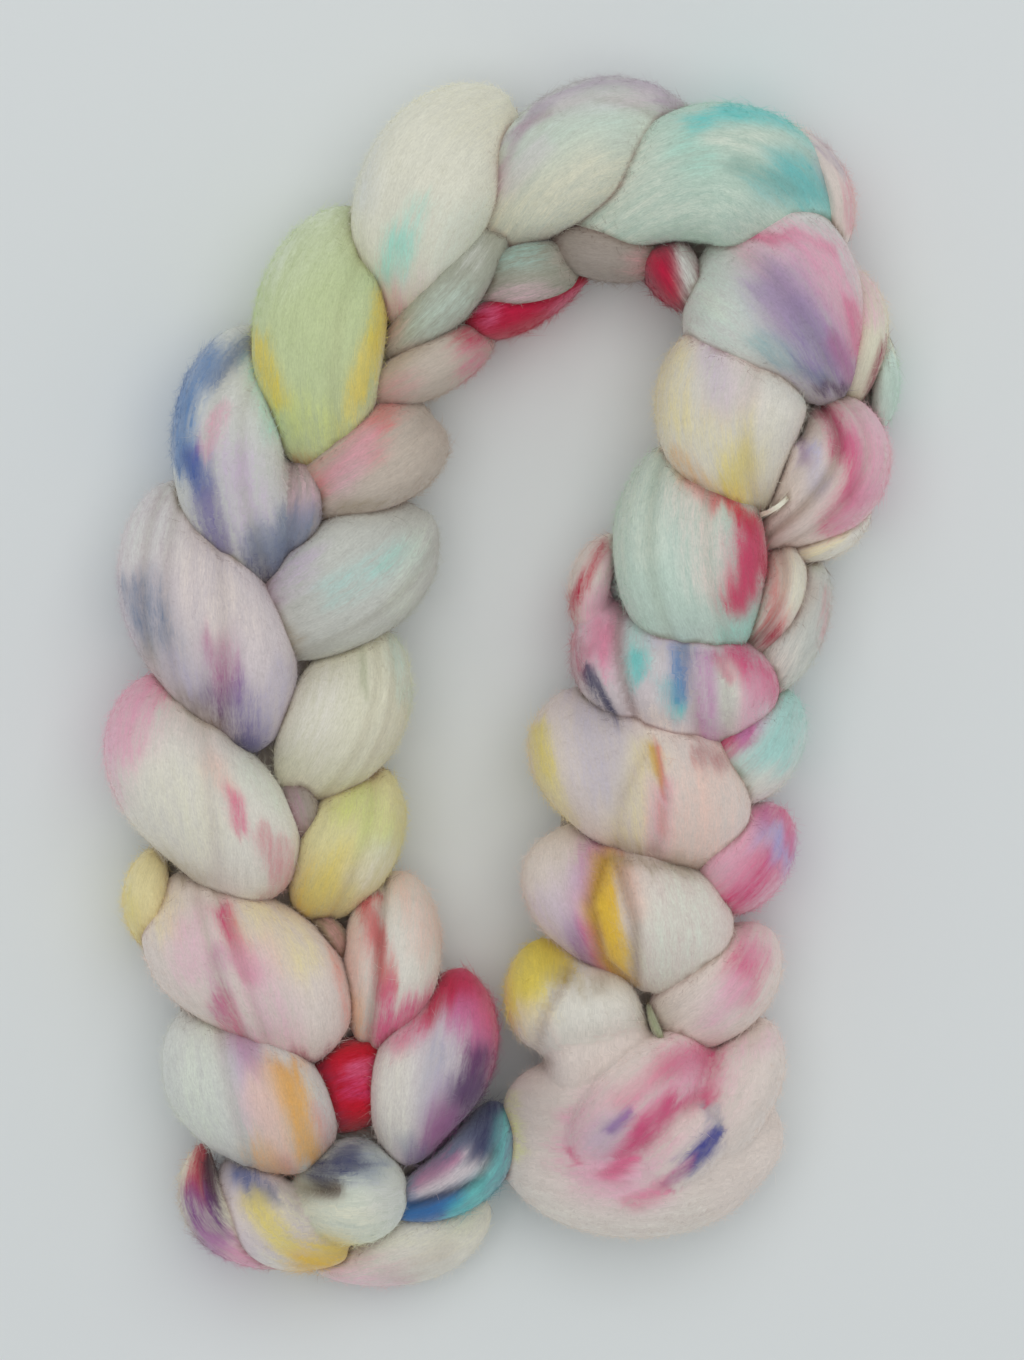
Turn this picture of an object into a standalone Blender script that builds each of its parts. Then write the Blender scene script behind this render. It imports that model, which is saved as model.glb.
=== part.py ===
"""A braid of combed wool roving, chained loop through loop and laid down in a horseshoe.

Metres, +Z up. The braid lies on z = 0, and the origin is at the middle of its base.
The roving is one unbroken length, so it is one solid: every loop of the chain is a fat fold that
dives under its neighbours at both ends, and the folds are fused round a soft heart.
"""

import math
from collections import namedtuple

import bmesh
import bpy
from mathutils import Vector

MM = 0.001

# Driving sizes, in millimetres.
BASE_DIP = 1.2          # how far a fold would sink through the surface, which presses its flat spot
END_RISE = 11.0         # height of a fold's underside where its ends leave the surface
PLAN_SOFTNESS = 2.6     # superellipse power of a fold from above: 2 is an ellipse, 4 nearly a box
LOOP_SOFTNESS = 2.3     # the same for the loop that its fibres make, seen from the side
HEART_SOFTNESS = 2.4    # the same for a section of the heart
HEART_LOW = 8.0         # underside of the heart
HEART_HIGH = 28.0       # top of the heart, below the creases between folds
FUSE_SIZE = 2.0         # grid size at which the folds grow together
EASE_PASSES = 4         # how often the fused skin is smoothed
FLAT_SNAP = 0.35        # points this near to the surface lie on it

# Mesh counts.
FOLD_SECTIONS = 22
FOLD_SIDES = 36
HEART_SIDES = 20
TRIANGLES = 10800

# One row for each fold that shows, seen from above with +Y up. A fold runs from its start over its
# belly to its end, and each of the three has a place (x, y), a width and a top height.
# roll raises the edge on the left of that way, and lowers the other, where a fold laps the next.
# skew sets that left edge ahead and the other one back, where a fold lies aslant.
Fold = namedtuple(
    "Fold",
    "name start_x start_y belly_x belly_y end_x end_y "
    "start_width belly_width end_width start_top belly_top end_top roll skew",
)
FOLDS = [
    # Across the top of the horseshoe.
    Fold("cream_top", 3.5, 173.5, -22.5, 147, -29.5, 106, 29.5, 41.5, 24, 34, 55, 40, 2, 0),
    Fold("cream_slip", -1, 138, -15.5, 116.5, -37, 96.5, 17, 17, 13, 36, 46, 36, 0, 0),
    Fold("lilac_top", 58.5, 163, 23.5, 159.5, -4, 129.5, 26.5, 38, 27.5, 30, 52, 36, -1, 0),
    Fold("aqua_top", 20.5, 131.5, 64, 152, 92.5, 126, 29, 42.5, 41.5, 38, 56, 42, -2, 0),
    Fold("pink_rim", 80, 167.5, 98.5, 150.5, 98.5, 126.5, 9, 10, 9.5, 30, 42, 34, 0, 0),
    # Left arm, outer row, from the top down.
    Fold("green", -40, 139, -54.5, 107.5, -53.5, 62.5, 29.5, 40, 33.5, 30, 54, 42, 3, 2.5),
    Fold("blue", -70, 103, -82, 71, -73, 26.5, 27.5, 34, 32, 28, 52, 42, 3, 5),
    Fold("blue_side", -62.5, 69, -60, 51, -67, 33.5, 11, 12.5, 10, 32, 43, 32, 0, 0),
    Fold("slate", -87.5, 55, -88.5, 20, -86.5, -17, 30, 53, 35, 30, 52, 42, 3, 15),
    Fold("rose_left", -91, -2.5, -90, -32.5, -86, -64, 31, 56.5, 36, 30, 53, 43, 3, 14.5),
    Fold("gold_tip", -103.5, -51, -110, -65.5, -104, -82, 6.5, 8, 6.5, 26, 34, 26, 0, 0),
    Fold("cream_left", -86.5, -57, -76.5, -84.5, -67.5, -113, 31, 56.5, 35, 30, 52, 42, 3, 12),
    Fold("peach_left", -82, -96, -76.5, -121, -71, -147, 29, 48.5, 38.5, 30, 50, 42, 3, 8.5),
    Fold("plum_foot", -89.5, -138, -87.5, -160, -65, -175, 8.5, 15, 9, 28, 42, 28, 0, 0),
    Fold("foot_lobe", -76.5, -140.5, -70.5, -162, -46, -171.5, 20, 24, 13, 26, 43, 30, 0, 0),
    # Left arm, inner row, from the top down.
    Fold("in_pink", -4, 106, -20, 95.5, -44, 84, 13, 17.5, 15, 28, 42, 34, 0, 0),
    Fold("in_rose", -20.5, 80, -36.5, 67.5, -64, 52, 24, 30, 22, 30, 45, 34, 0, 0),
    Fold("in_mint", -25.5, 53, -45.5, 31, -77, 14.5, 27, 38.5, 27, 28, 46, 34, 0, 0),
    Fold("in_cream", -47, 15.5, -47.5, -9.5, -62.5, -35.5, 30, 37, 26, 28, 46, 34, 0, -4),
    Fold("mauve_gap", -65, -28, -60.5, -39, -57.5, -55, 9, 11.5, 7, 30, 37, 30, 0, 0),
    Fold("in_yellow", -42.5, -26.5, -46.5, -49, -56, -72, 24.5, 30.5, 22, 28, 45, 34, 0, -4),
    Fold("stone_gap", -59.5, -70, -50.5, -77, -46, -89, 6, 8, 5, 30, 36, 30, 0, 0),
    Fold("in_peach", -33.5, -57, -33.5, -82, -38.5, -111.5, 21.5, 29.5, 22, 28, 45, 36, 0, 0),
    Fold("red_tuck", -30.5, -116, -46, -121, -61.5, -128, 25, 27.5, 25, 32, 35, 30, 0, 0),
    Fold("in_violet", -16, -87, -21, -115, -25.5, -144.5, 19, 36.5, 18, 30, 47, 36, 0, -6),
    # The tucked end at the foot of the left arm.
    Fold("knot", -63.5, -149.5, -46, -152.5, -28.5, -150.5, 18.5, 32, 23, 34, 47, 38, 0, 0),
    Fold("blue_foot", -2.5, -125.5, -10, -146, -34.5, -158.5, 16, 20.5, 15, 24, 36, 32, 0, 0),
    Fold("under_foot", -5.5, -155.5, -25.5, -169, -55.5, -176.5, 18, 23, 12, 16, 24, 18, 0, 0),
    # Inside the bend.
    Fold("in_aqua", 23, 126.5, 7.5, 122, -11, 117, 17.5, 20, 17.5, 28, 42, 32, 0, 0),
    Fold("crimson_bend", 25.5, 123.5, 5.5, 112, -13.5, 107, 6, 12.5, 11.5, 24, 35, 30, 0, 0),
    Fold("in_stone", 49.5, 129, 31.5, 129.5, 13.5, 132.5, 17, 18, 16, 28, 36, 32, 0, 0),
    Fold("in_crimson", 46, 133, 50.5, 124, 58.5, 111.5, 14, 17, 12, 26, 34, 28, 0, 0),
    # Right arm, outer row, from the top down.
    Fold("berry_right", 60.5, 131, 82, 113.5, 99.5, 84, 56, 54.5, 22, 38, 54, 42, 2, 0),
    Fold("pale_rim", 104, 124, 109.5, 105, 103, 83.5, 10, 12.5, 10, 28, 38, 30, 0, 0),
    Fold("aqua_rim", 110.5, 109, 115, 92, 112, 75, 7, 8.5, 7, 22, 28, 22, 0, 0),
    Fold("rose_right", 94.5, 84.5, 99.5, 64, 77, 41.5, 19, 32, 17.5, 32, 47, 36, 0, 0),
    Fold("rose_under", 109.5, 54.5, 100.5, 43, 80.5, 37, 6.5, 8.5, 8, 22, 32, 28, 0, 0),
    Fold("cream_right", 82.5, 42.5, 83.5, 25, 71.5, 8, 14.5, 15, 11.5, 30, 43, 34, 0, 0),
    Fold("grey_right", 92.5, 38, 88, 17, 75.5, -5, 12.5, 18, 15, 26, 38, 32, 0, 0),
    Fold("aqua_right", 85, -2, 75.5, -20, 61, -32.5, 18, 26, 21.5, 28, 43, 34, 0, 0),
    Fold("pink_right", 83, -37, 71.5, -54, 58.5, -67, 19, 27, 18.5, 28, 43, 34, 0, 0),
    Fold("spot_right", 76.5, -72, 65, -90.5, 43.5, -106, 20.5, 31, 21.5, 28, 44, 34, 0, 0),
    # Right arm, inner row, from the top down.
    Fold("gold_in", 79, 104, 68, 80.5, 74.5, 48, 38, 44.5, 25, 38, 55, 43, 2, 0),
    Fold("crimson_in", 61, 72, 56, 39, 65.5, 5.5, 35, 46, 36, 30, 55, 46, 2, 0),
    Fold("crimson_slip", 34.5, 44, 26.5, 31, 26, 12.5, 8, 12, 10, 24, 36, 30, 0, 0),
    Fold("multi_in", 50, 23.5, 51.5, 4, 56, -22, 45, 61, 47, 24, 51, 43, 2, 6.5),
    Fold("peach_in", 35.5, -1, 41, -27, 45, -56, 45, 63.5, 47.5, 28, 53, 44, 2, 9.5),
    Fold("lilac_in", 32.5, -43, 37.5, -66.5, 43, -93, 42, 60, 39, 28, 52, 43, 2, 9),
    Fold("yellow_in", 17, -77, 21, -96.5, 26.5, -114.5, 27.5, 39.5, 33.5, 26, 47, 38, 2, 4),
    # The loose end, fluffed out at the foot of the right arm.
    Fold("puff_neck", 24.5, -91, 28.5, -108, 32.5, -129, 27, 33.5, 33.5, 34, 44, 40, 0, 0),
    Fold("puff", -1, -130, 41, -135.5, 82, -126.5, 50.5, 62, 49, 26, 47, 28, 3, 0),
    Fold("puff_rim", 75.5, -101, 70, -123, 49.5, -153, 17, 23.5, 18, 26, 44, 34, 0, 0),
    Fold("puff_petal", 65.5, -120, 53.5, -138, 29, -154, 18, 24.5, 17, 34, 51, 36, 0, 0),
    Fold("puff_roll", 60.5, -107, 41, -125, 20, -147, 18.5, 29.5, 18.5, 40, 56, 42, -3, 0),
]

# The heart: the inside of the chain, which closes it between the folds. One row for each section.
Heart = namedtuple("Heart", "x y width")
HEART = [
    Heart(-48.5, -155.5, 60),
    Heart(-50.5, -119.5, 76),
    Heart(-65.5, -83.5, 70),
    Heart(-74.5, -47.5, 68),
    Heart(-72.5, -5.5, 66),
    Heart(-63.5, 30.5, 66),
    Heart(-51.5, 66.5, 56),
    Heart(-35.5, 105.5, 52),
    Heart(-15.5, 135.5, 46),
    Heart(20.5, 150.5, 38),
    Heart(56.5, 147.5, 44),
    Heart(83.5, 115.5, 50),
    Heart(86.5, 81.5, 52),
    Heart(65.5, 36.5, 50),
    Heart(56.5, 0.5, 52),
    Heart(45.5, -29.5, 54),
    Heart(42.5, -65.5, 54),
    Heart(41.5, -95.5, 58),
    Heart(41.5, -128.5, 64),
]


def clear_scene():
    """Empty the scene, so that the braid is all it holds."""
    for old in list(bpy.data.objects):
        bpy.data.objects.remove(old, do_unlink=True)


def wool_material():
    """Matte undyed-looking wool, for the whole braid."""
    wool = bpy.data.materials.new("dyed_wool")
    wool.use_nodes = True
    shader = wool.node_tree.nodes["Principled BSDF"]
    shader.inputs["Base Color"].default_value = (0.72, 0.66, 0.60, 1.0)
    shader.inputs["Roughness"].default_value = 0.95
    shader.inputs["Metallic"].default_value = 0.0
    return wool


def through(start, belly, end, t):
    """The value at t of the parabola that is start at 0, belly at a half and end at 1."""
    handle = 2 * belly - (start + end) / 2
    return (1 - t) ** 2 * start + 2 * t * (1 - t) * handle + t ** 2 * end


def slope(start, belly, end, t):
    """How fast that parabola changes at t."""
    handle = 2 * belly - (start + end) / 2
    return 2 * (1 - t) * (handle - start) + 2 * t * (end - handle)


def soft_turn(angle, softness):
    """A point of the unit superellipse that stands in the way of an angle."""
    cosine = math.cos(angle)
    sine = math.sin(angle)
    size = (abs(cosine) ** softness + abs(sine) ** softness) ** (1 / softness)
    return cosine / size, sine / size


def fold_point(fold, across_turn, loop_turn):
    """A point of a fold's skin.

    The across turn goes from the left edge, at 0, to the right one, at pi. The loop turn goes round
    the fold the way its fibres do: 0 is its end, a quarter turn its top and a half turn its start.
    """
    across, ring = soft_turn(across_turn, PLAN_SOFTNESS)
    along, up = soft_turn(loop_turn, LOOP_SOFTNESS)
    t = (1 + along * ring) / 2
    x = through(fold.start_x, fold.belly_x, fold.end_x, t)
    y = through(fold.start_y, fold.belly_y, fold.end_y, t)
    way = Vector((
        slope(fold.start_x, fold.belly_x, fold.end_x, t),
        slope(fold.start_y, fold.belly_y, fold.end_y, t),
    )).normalized()
    aside = through(fold.start_width, fold.belly_width, fold.end_width, t) / 2 * across
    ahead = fold.skew * across
    top = through(fold.start_top, fold.belly_top, fold.end_top, t)
    bottom = through(END_RISE, -BASE_DIP, END_RISE, t)
    lift = fold.roll * across * (1 + up * ring) / 2 * ring
    return Vector((
        x + way.x * ahead - way.y * aside,
        y + way.y * ahead + way.x * aside,
        (top + bottom) / 2 + (top - bottom) / 2 * up * ring + lift,
    ))


def heart_section(number):
    """The ring of points round the heart at one of its rows."""
    row = HEART[number]
    before = HEART[max(number - 1, 0)]
    after = HEART[min(number + 1, len(HEART) - 1)]
    way = Vector((after.x - before.x, after.y - before.y)).normalized()
    left = Vector((-way.y, way.x))
    middle = (HEART_LOW + HEART_HIGH) / 2
    half_height = (HEART_HIGH - HEART_LOW) / 2
    ring = []
    for side in range(HEART_SIDES):
        across, up = soft_turn(2 * math.pi * side / HEART_SIDES, HEART_SOFTNESS)
        ring.append(Vector((
            row.x + left.x * row.width / 2 * across,
            row.y + left.y * row.width / 2 * across,
            middle + half_height * up,
        )))
    return ring


def add_tube(shape, rings):
    """Skin a row of rings into one closed tube, with a fan over each end."""
    loops = []
    for ring in rings:
        loops.append([shape.verts.new(point * MM) for point in ring])
    sides = len(loops[0])
    for near, far in zip(loops, loops[1:]):
        for side in range(sides):
            after = (side + 1) % sides
            shape.faces.new((near[side], near[after], far[after], far[side]))
    for loop in (loops[0], loops[-1]):
        tip = shape.verts.new(sum((vert.co for vert in loop), Vector()) / sides)
        for side in range(sides):
            shape.faces.new((loop[side], loop[(side + 1) % sides], tip))


def add_fold(shape, fold):
    """One fold of the chain: loops of its fibres, side by side from its left edge to its right."""
    rings = []
    for section in range(1, FOLD_SECTIONS):
        across_turn = math.pi * section / FOLD_SECTIONS
        ring = []
        for side in range(FOLD_SIDES):
            ring.append(fold_point(fold, across_turn, 2 * math.pi * side / FOLD_SIDES))
        rings.append(ring)
    add_tube(shape, rings)


def loose_folds():
    """All the folds and the heart as one mesh of tubes that run through each other."""
    shape = bmesh.new()
    for fold in FOLDS:
        add_fold(shape, fold)
    add_tube(shape, [heart_section(number) for number in range(len(HEART))])
    bmesh.ops.recalc_face_normals(shape, faces=shape.faces[:])
    mesh = bpy.data.meshes.new("braid")
    shape.to_mesh(mesh)
    shape.free()
    return mesh


def applied(braid):
    """Put the braid's modifiers into its mesh."""
    scene_state = bpy.context.evaluated_depsgraph_get()
    mesh = bpy.data.meshes.new_from_object(braid.evaluated_get(scene_state))
    braid.modifiers.clear()
    braid.data = mesh


def fuse(braid):
    """Grow the tubes together into one skin."""
    skin = braid.modifiers.new("fuse", "REMESH")
    skin.mode = "VOXEL"
    skin.voxel_size = FUSE_SIZE * MM
    ease = braid.modifiers.new("ease", "SMOOTH")
    ease.factor = 0.5
    ease.iterations = EASE_PASSES
    applied(braid)


def press_flat(braid):
    """Cut away what would lie below the surface, and close the cuts as flat spots."""
    shape = bmesh.new()
    shape.from_mesh(braid.data)
    everything = shape.verts[:] + shape.edges[:] + shape.faces[:]
    bmesh.ops.bisect_plane(
        shape, geom=everything, plane_co=(0, 0, 0), plane_no=(0, 0, 1), clear_inner=True
    )
    rims = [edge for edge in shape.edges if edge.is_boundary]
    bmesh.ops.holes_fill(shape, edges=rims, sides=0)
    bmesh.ops.triangulate(shape, faces=shape.faces[:])
    shape.to_mesh(braid.data)
    shape.free()


def thin_out(braid):
    """Bring the skin down to the wanted number of triangles."""
    fewer = braid.modifiers.new("thin", "DECIMATE")
    fewer.ratio = TRIANGLES / len(braid.data.polygons)
    applied(braid)
    for vert in braid.data.vertices:
        if vert.co.z < FLAT_SNAP * MM:
            vert.co.z = 0.0


def shade_soft(braid):
    """Smooth shading: a braid has no sharp edge."""
    for face in braid.data.polygons:
        face.use_smooth = True


def build_braid():
    """The whole braid, as one object."""
    braid = bpy.data.objects.new("braid", loose_folds())
    bpy.context.scene.collection.objects.link(braid)
    fuse(braid)
    press_flat(braid)
    thin_out(braid)
    shade_soft(braid)
    braid.data.materials.clear()
    braid.data.materials.append(wool_material())
    return braid


clear_scene()
build_braid()
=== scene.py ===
"""A braid of hand-dyed combed wool, chained loop through loop and laid down in a horseshoe.

Every fold of the chain is a soft closed form with its own lay of fibres, dyed in patches that run
along the fibres, and fuzz stands on all of it. Tables are in millimetres and the scene in metres.
"""

import math
from collections import namedtuple

import bpy
import numpy as np
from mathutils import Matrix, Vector
from mathutils.bvhtree import BVHTree
from mathutils.kdtree import KDTree


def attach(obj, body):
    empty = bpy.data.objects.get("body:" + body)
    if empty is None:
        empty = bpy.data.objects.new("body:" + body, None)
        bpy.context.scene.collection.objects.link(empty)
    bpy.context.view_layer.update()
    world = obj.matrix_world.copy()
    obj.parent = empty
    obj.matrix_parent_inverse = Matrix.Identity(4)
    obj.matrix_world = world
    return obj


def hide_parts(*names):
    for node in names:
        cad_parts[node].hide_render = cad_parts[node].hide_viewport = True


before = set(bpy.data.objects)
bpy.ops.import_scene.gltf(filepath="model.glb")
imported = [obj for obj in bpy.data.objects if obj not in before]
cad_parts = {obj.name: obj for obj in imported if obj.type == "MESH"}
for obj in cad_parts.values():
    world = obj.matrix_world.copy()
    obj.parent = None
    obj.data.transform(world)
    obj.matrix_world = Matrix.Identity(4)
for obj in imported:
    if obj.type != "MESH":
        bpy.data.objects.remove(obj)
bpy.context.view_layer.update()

MM = 0.001
TINY = 1e-6             # a length below this counts as nothing
BODY = "root"
NODE = "braid"

# How a fold is shaped, in millimetres where it is a length.
BASE_DIP = 0.3          # how far a fold presses into the surface
END_RISE = 11.0         # height of a fold's underside where its ends leave the surface
PLAN_SOFTNESS = 2.6     # superellipse power of a fold from above: 2 is an ellipse
LOOP_SOFTNESS = 2.3     # the same for the loop that its fibres make, seen from the side
LOOP_STEP = 0.02        # turn over which the way of the fibres is measured
LENGTH_SAMPLES = 33     # points along a fold's middle line that its length is measured with
LANE_STEP = 37.0        # sets the noise of each fold apart from the next
RINGS_PER_WIDTH = 1.35  # mesh loops side by side in a fold for each millimetre of its width
SIDES_PER_LENGTH = 1.15 # mesh points along such a loop for each millimetre of the fold's length
LEAST_RINGS = 24
LEAST_SIDES = 40
TOP_SHARE = 0.72        # share of those points that lies on the upper part of the loop
TOP_OVERHANG = 0.25     # how far, as a turn, that part reaches down past each end

# The lay of the wool: the width and length of its ridges, and how far they stand out.
Ridge = namedtuple("Ridge", "width length height")
RIDGES = [Ridge(11.0, 60.0, 1.0), Ridge(4.0, 40.0, 0.34), Ridge(1.7, 20.0, 0.1)]
PRESS_DOWN_TO = 0.3     # partings and creases fade out where the skin turns down as far as this

# How a dye creeps along some fibres, and how sharply it ends.
Ragged = namedtuple("Ragged", "width length creep")
RAGGED = [Ragged(3.4, 30.0, 3.6), Ragged(1.3, 12.0, 2.2)]
CREEP_SEED = 7
DYE_EDGE = 2.6          # 2 is a dye that fades from its middle, and more keeps it full for longer
LEAST_DYE = 1e-4

# Painted shade near another fold, in the crease between them: how near, and how much.
CREASE_SIGHT = 6.0      # how far off another fold still counts
CreaseShade = namedtuple("CreaseShade", "reach depth")
CREASE_SHADE_LINE = CreaseShade(0.9, 0.68)
CREASE_SHADE_BAND = CreaseShade(2.8, 0.34)    # the wider painted shade beside that line
CORNER_SHADE = CreaseShade(2.6, 0.42)          # and how much more of that where three folds meet
# the brownish tints of that painted shade
CREASE_SHADE_TINTS = ("crease_brown", "crease_olive")
# How both of them and the tint vary from place to place.
Uneven = namedtuple("Uneven", "patch middle swing least seed")
SHADE_BAND_UNEVEN = Uneven(14.0, 0.5, 0.9, 0.0, 31)
LINE_UNEVEN = Uneven(9.0, 0.72, 0.7, 0.25, 57)
TINT_UNEVEN = Uneven(24.0, 0.5, 0.9, 0.0, 83)
GLOW_REACH = 4.5        # painted light: the wool is painted paler for this far beside a crease, for the light that it passes on
GLOW = 0.16
EDGE_GLOW = 0.16        # and painted paler in the same way where its skin turns down, against the shade on its sides
PRESSED_SHADE = 0.22    # how much painted shade a pressed crease gets, for each millimetre of its depth

# Melting folds into one: the voxels of the remesh, in millimetres, and the rounds of smoothing.
MELT_VOXEL = 1.1
MELT_ROUNDS = 8
MELT_FACTOR = 0.5
SEAM_LEAST = 0.06       # how far the smoothing must fill a place for it to get the painted shade of a crease
SEAM_MOST = 0.6         # filling past this makes that painted shade no deeper
SEAM_PRESS = 3.5        # how deep a crease it then counts as for that painted shade, for each millimetre of filling
MELTED_VALUES = ("places", "fibre", "lanes", "pressed", "ground")

# The heart: the filling of the chain, which shows only deep between the folds.
HEART_LOW = 8.0
HEART_HIGH = 20.0
HEART_SIDES = 36
HEART_RINGS = 4         # mesh loops for each row of its table
HEART_END_POWER = 32    # how late its ends round off
HEART_STEP = 0.02       # share of its length over which its way is measured
# Painted shade: the heart's dark tone stands for the deep shade between the folds.
HEART_COLOUR = "shade_stone"

# Fuzz: how thick its hairs are, and how many stand on each square millimetre that is open from
# above, at the edge of a fold, and in a crease. A hair runs along the lay and lifts off it.
HAIR_RADIUS = 0.045
HAIR_WAIST = 0.5        # where along a hair it is thickest
HAIRS_ON_TOP = 0.15
HAIRS_AT_EDGE = 0.95
HAIRS_IN_CREASE = 0.95
EDGE_START = 1.5        # a face counts as an edge by this, less the next for each unit it faces up
EDGE_FALL = 2.2
FUZZ_REACH = 2.0        # how near another fold a hair counts as in the crease
HAIR_PAINTED_LIGHT = 1.06        # painted light: a lone fibre is painted paler, for the light that shines through it
CREASE_HAIR_SHADE = 0.8  # how much of the crease's painted shade a hair there takes
HairKind = namedtuple("HairKind", "share reach lift wander")
HAIR_KINDS = [
    HairKind(0.30, 6.0, 0.6, 0.3),
    HairKind(0.45, 5.0, 1.6, 0.7),
    HairKind(0.25, 6.0, 3.2, 1.2),
    HairKind(0.0, 3.6, 0.8, 1.4),
]
CREASE_KIND = 3         # the kind that crosses a crease
CREASE_KIND_FROM = 0.4  # and how far into a crease it takes over
LEAST_REACH = 0.45      # the shortest hair of a kind, as a share of the longest
LEAST_LIFT = 0.2
HAIR_TURN = 1.6         # how far a hair turns from the lay, for its wander
HAIR_CURL = 0.6         # how far its tip curls aside, for its wander and reach
LIFT_POWER = 1.4
CURL_POWER = 2

# Where hairs may root, in millimetres.
HAIR_ROOTING = 0.3      # how deep a hair starts under the skin
SKIN_CLEARANCE = 0.4
SKIN_STEP = 0.05
SKINS_AT_MOST = 8
FARTHEST_SKIN = 90.0
ROOT_LOW = 2.0
ROOT_DOWN = -0.75
FUZZ_SEED = 4100
# Each piece of fuzz, and the first and last of the folds that it stands on.
FUZZ = [
    ("fuzz_crown", "cream_top", "pink_rim"),
    ("fuzz_left", "green", "foot_lobe"),
    ("fuzz_inner_left", "in_pink", "in_violet"),
    ("fuzz_foot", "knot", "under_foot"),
    ("fuzz_bend", "in_aqua", "aqua_rim"),
    ("fuzz_right", "rose_right", "spot_right"),
    ("fuzz_inner_right", "gold_in", "yellow_in"),
    ("fuzz_puff", "puff_neck", "puff_roll"),
    ("fuzz_strands", "green_strand", "white_wisp"),
]

# Camera: straight above. The view is this long from top to bottom at the height it is set for.
VIEW_LENGTH = 408.0
VIEW_HEIGHT = 25.0
VIEW_CENTRE = (2.7, 0.6)
CAMERA_HEIGHT = 2600.0
SENSOR = 36.0
CLIP_NEAR = 0.1
CLIP_FAR = 20.0

# The studio, in metres and watts.
FLOOR_SIZE = 6.0
FLOOR_TONE = (0.755, 0.785, 0.785)
FLOOR_ROUGHNESS = 0.9
FLOOR_GLOSS = 0.1
SKY_COLOUR = (0.93, 0.97, 1.0)
SKY_HORIZON = 0.92
SKY_ZENITH = 0.28
SOFT_BOX_PLACE = (0.05, 0.3, 1.75)
SOFT_BOX_AIM = (0.0, 0.0, 0.0)
SOFT_BOX_SIZE = 2.0
SOFT_BOX_POWER = 16.5
SOFT_BOX_COLOUR = (1.0, 0.985, 0.97)

# The wool's finish: streaks along the lay, with their size in millimetres.
Streak = namedtuple("Streak", "wide long detail roughness")
SWAY = Streak(2.4, 6.0, 2.0, 0.5)        # how the fibres wander from side to side
FINE = Streak(0.36, 2.8, 2.0, 0.6)
LOCKS = Streak(2.6, 20.0, 2.0, 0.6)
DOWN = Streak(0.5, 0.9, 1.0, 0.6)
SWAY_REACH = 1.6
# What a streak's value, from low to high, stands for.
Span = namedtuple("Span", "low high new_low new_high")
FINE_TAKES = Span(0.3, 0.7, -0.9, 0.9)   # how unevenly dye takes
LOCKS_TAKE = Span(0.3, 0.7, -1.1, 1.1)
FINE_SHADE = Span(0.25, 0.75, -0.095, 0.095)
LOCKS_SHADE = Span(0.3, 0.7, 0.955, 1.045)
DOWN_SHADE = Span(0.25, 0.75, -0.06, 0.06)
WHOLE = Span(0.0, 1.0, 0.0, 1.0)
FINE_HEIGHT = 0.5
DOWN_HEIGHT = 0.3
BUMP_STRENGTH = 0.3
BUMP_DISTANCE = 0.0006
WOOL_ROUGHNESS = 0.95
WOOL_GLOSS = 0.1
WOOL_SHEEN = 0.3
WOOL_SHEEN_ROUGHNESS = 0.5

# Dyes, as the red, green and blue of dry wool in even light, from 0 to 255, and the tones of painted
# shade marked below.
COLOURS = {
    "cream": (208, 204, 194),
    "ivory": (210, 208, 192),
    "butter_white": (206, 203, 182),
    "sage_white": (198, 204, 190),
    "pale_mint": (182, 200, 188),
    "pink_white": (208, 196, 188),
    "grey_white": (197, 198, 193),
    "lilac_white": (198, 188, 190),
    "celery": (184, 195, 150),
    "lime": (190, 198, 128),
    "straw": (206, 199, 150),
    "sun": (208, 188, 72),
    # Painted shade: this tone and the eight below it are darker copies of the pale grounds, for fold
    # edges and for folds that lie in shade.
    "stone": (175, 165, 155),
    "shade_cream": (182, 170, 158),
    "shade_sage": (160, 162, 148),
    "shade_grey": (186, 187, 180),
    "shade_lilac": (166, 156, 154),
    "shade_mint": (172, 194, 180),
    "dim_sage": (190, 197, 184),
    "deep_sage": (148, 148, 134),
    "shade_stone": (150, 140, 132),
    "mint": (150, 205, 190),
    "turquoise": (88, 184, 180),
    "teal": (104, 174, 172),
    "deep_teal": (110, 150, 140),
    "pale_aqua": (155, 195, 188),
    "slate_aqua": (130, 165, 165),
    "gold": (206, 168, 58),
    "yellow": (206, 190, 108),
    "butter": (210, 198, 150),
    "lemon": (196, 200, 120),
    "amber": (165, 122, 70),
    "orange": (205, 155, 85),
    "peach": (210, 172, 140),
    "pale_peach": (212, 182, 170),
    "coral": (205, 115, 100),
    "coral_rose": (192, 110, 108),
    "dusty_rose": (190, 140, 142),
    "rose": (196, 90, 125),
    "pink": (205, 150, 168),
    "pale_pink": (208, 170, 182),
    "raspberry": (190, 65, 110),
    "crimson": (172, 25, 58),
    "cherry": (185, 22, 42),
    "wine": (135, 40, 62),
    "maroon": (60, 20, 40),
    "mauve": (160, 100, 135),
    "orchid": (175, 115, 160),
    "plum": (80, 50, 90),
    "violet": (120, 72, 122),
    "purple": (105, 60, 140),
    "pale_violet": (172, 165, 181),
    "lilac_grey": (178, 170, 178),
    "pale_lilac": (185, 168, 188),
    "grey_lilac": (165, 150, 162),
    "grey_violet": (140, 125, 160),
    "indigo_lilac": (115, 108, 150),
    "periwinkle": (150, 150, 190),
    "denim": (95, 125, 165),
    "royal": (62, 85, 145),
    "blue": (48, 100, 155),
    "navy": (57, 60, 130),
    "ink": (52, 52, 85),
    "slate": (115, 125, 145),
    "moss": (150, 155, 125),
    # Painted shade: these four brownish tones darken fold edges, gaps and creases.
    "olive": (140, 122, 72),
    "bark": (140, 125, 100),
    "crease_brown": (150, 106, 100),
    "crease_olive": (138, 126, 96),
}
WOOL_GAIN = 1.13

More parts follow.
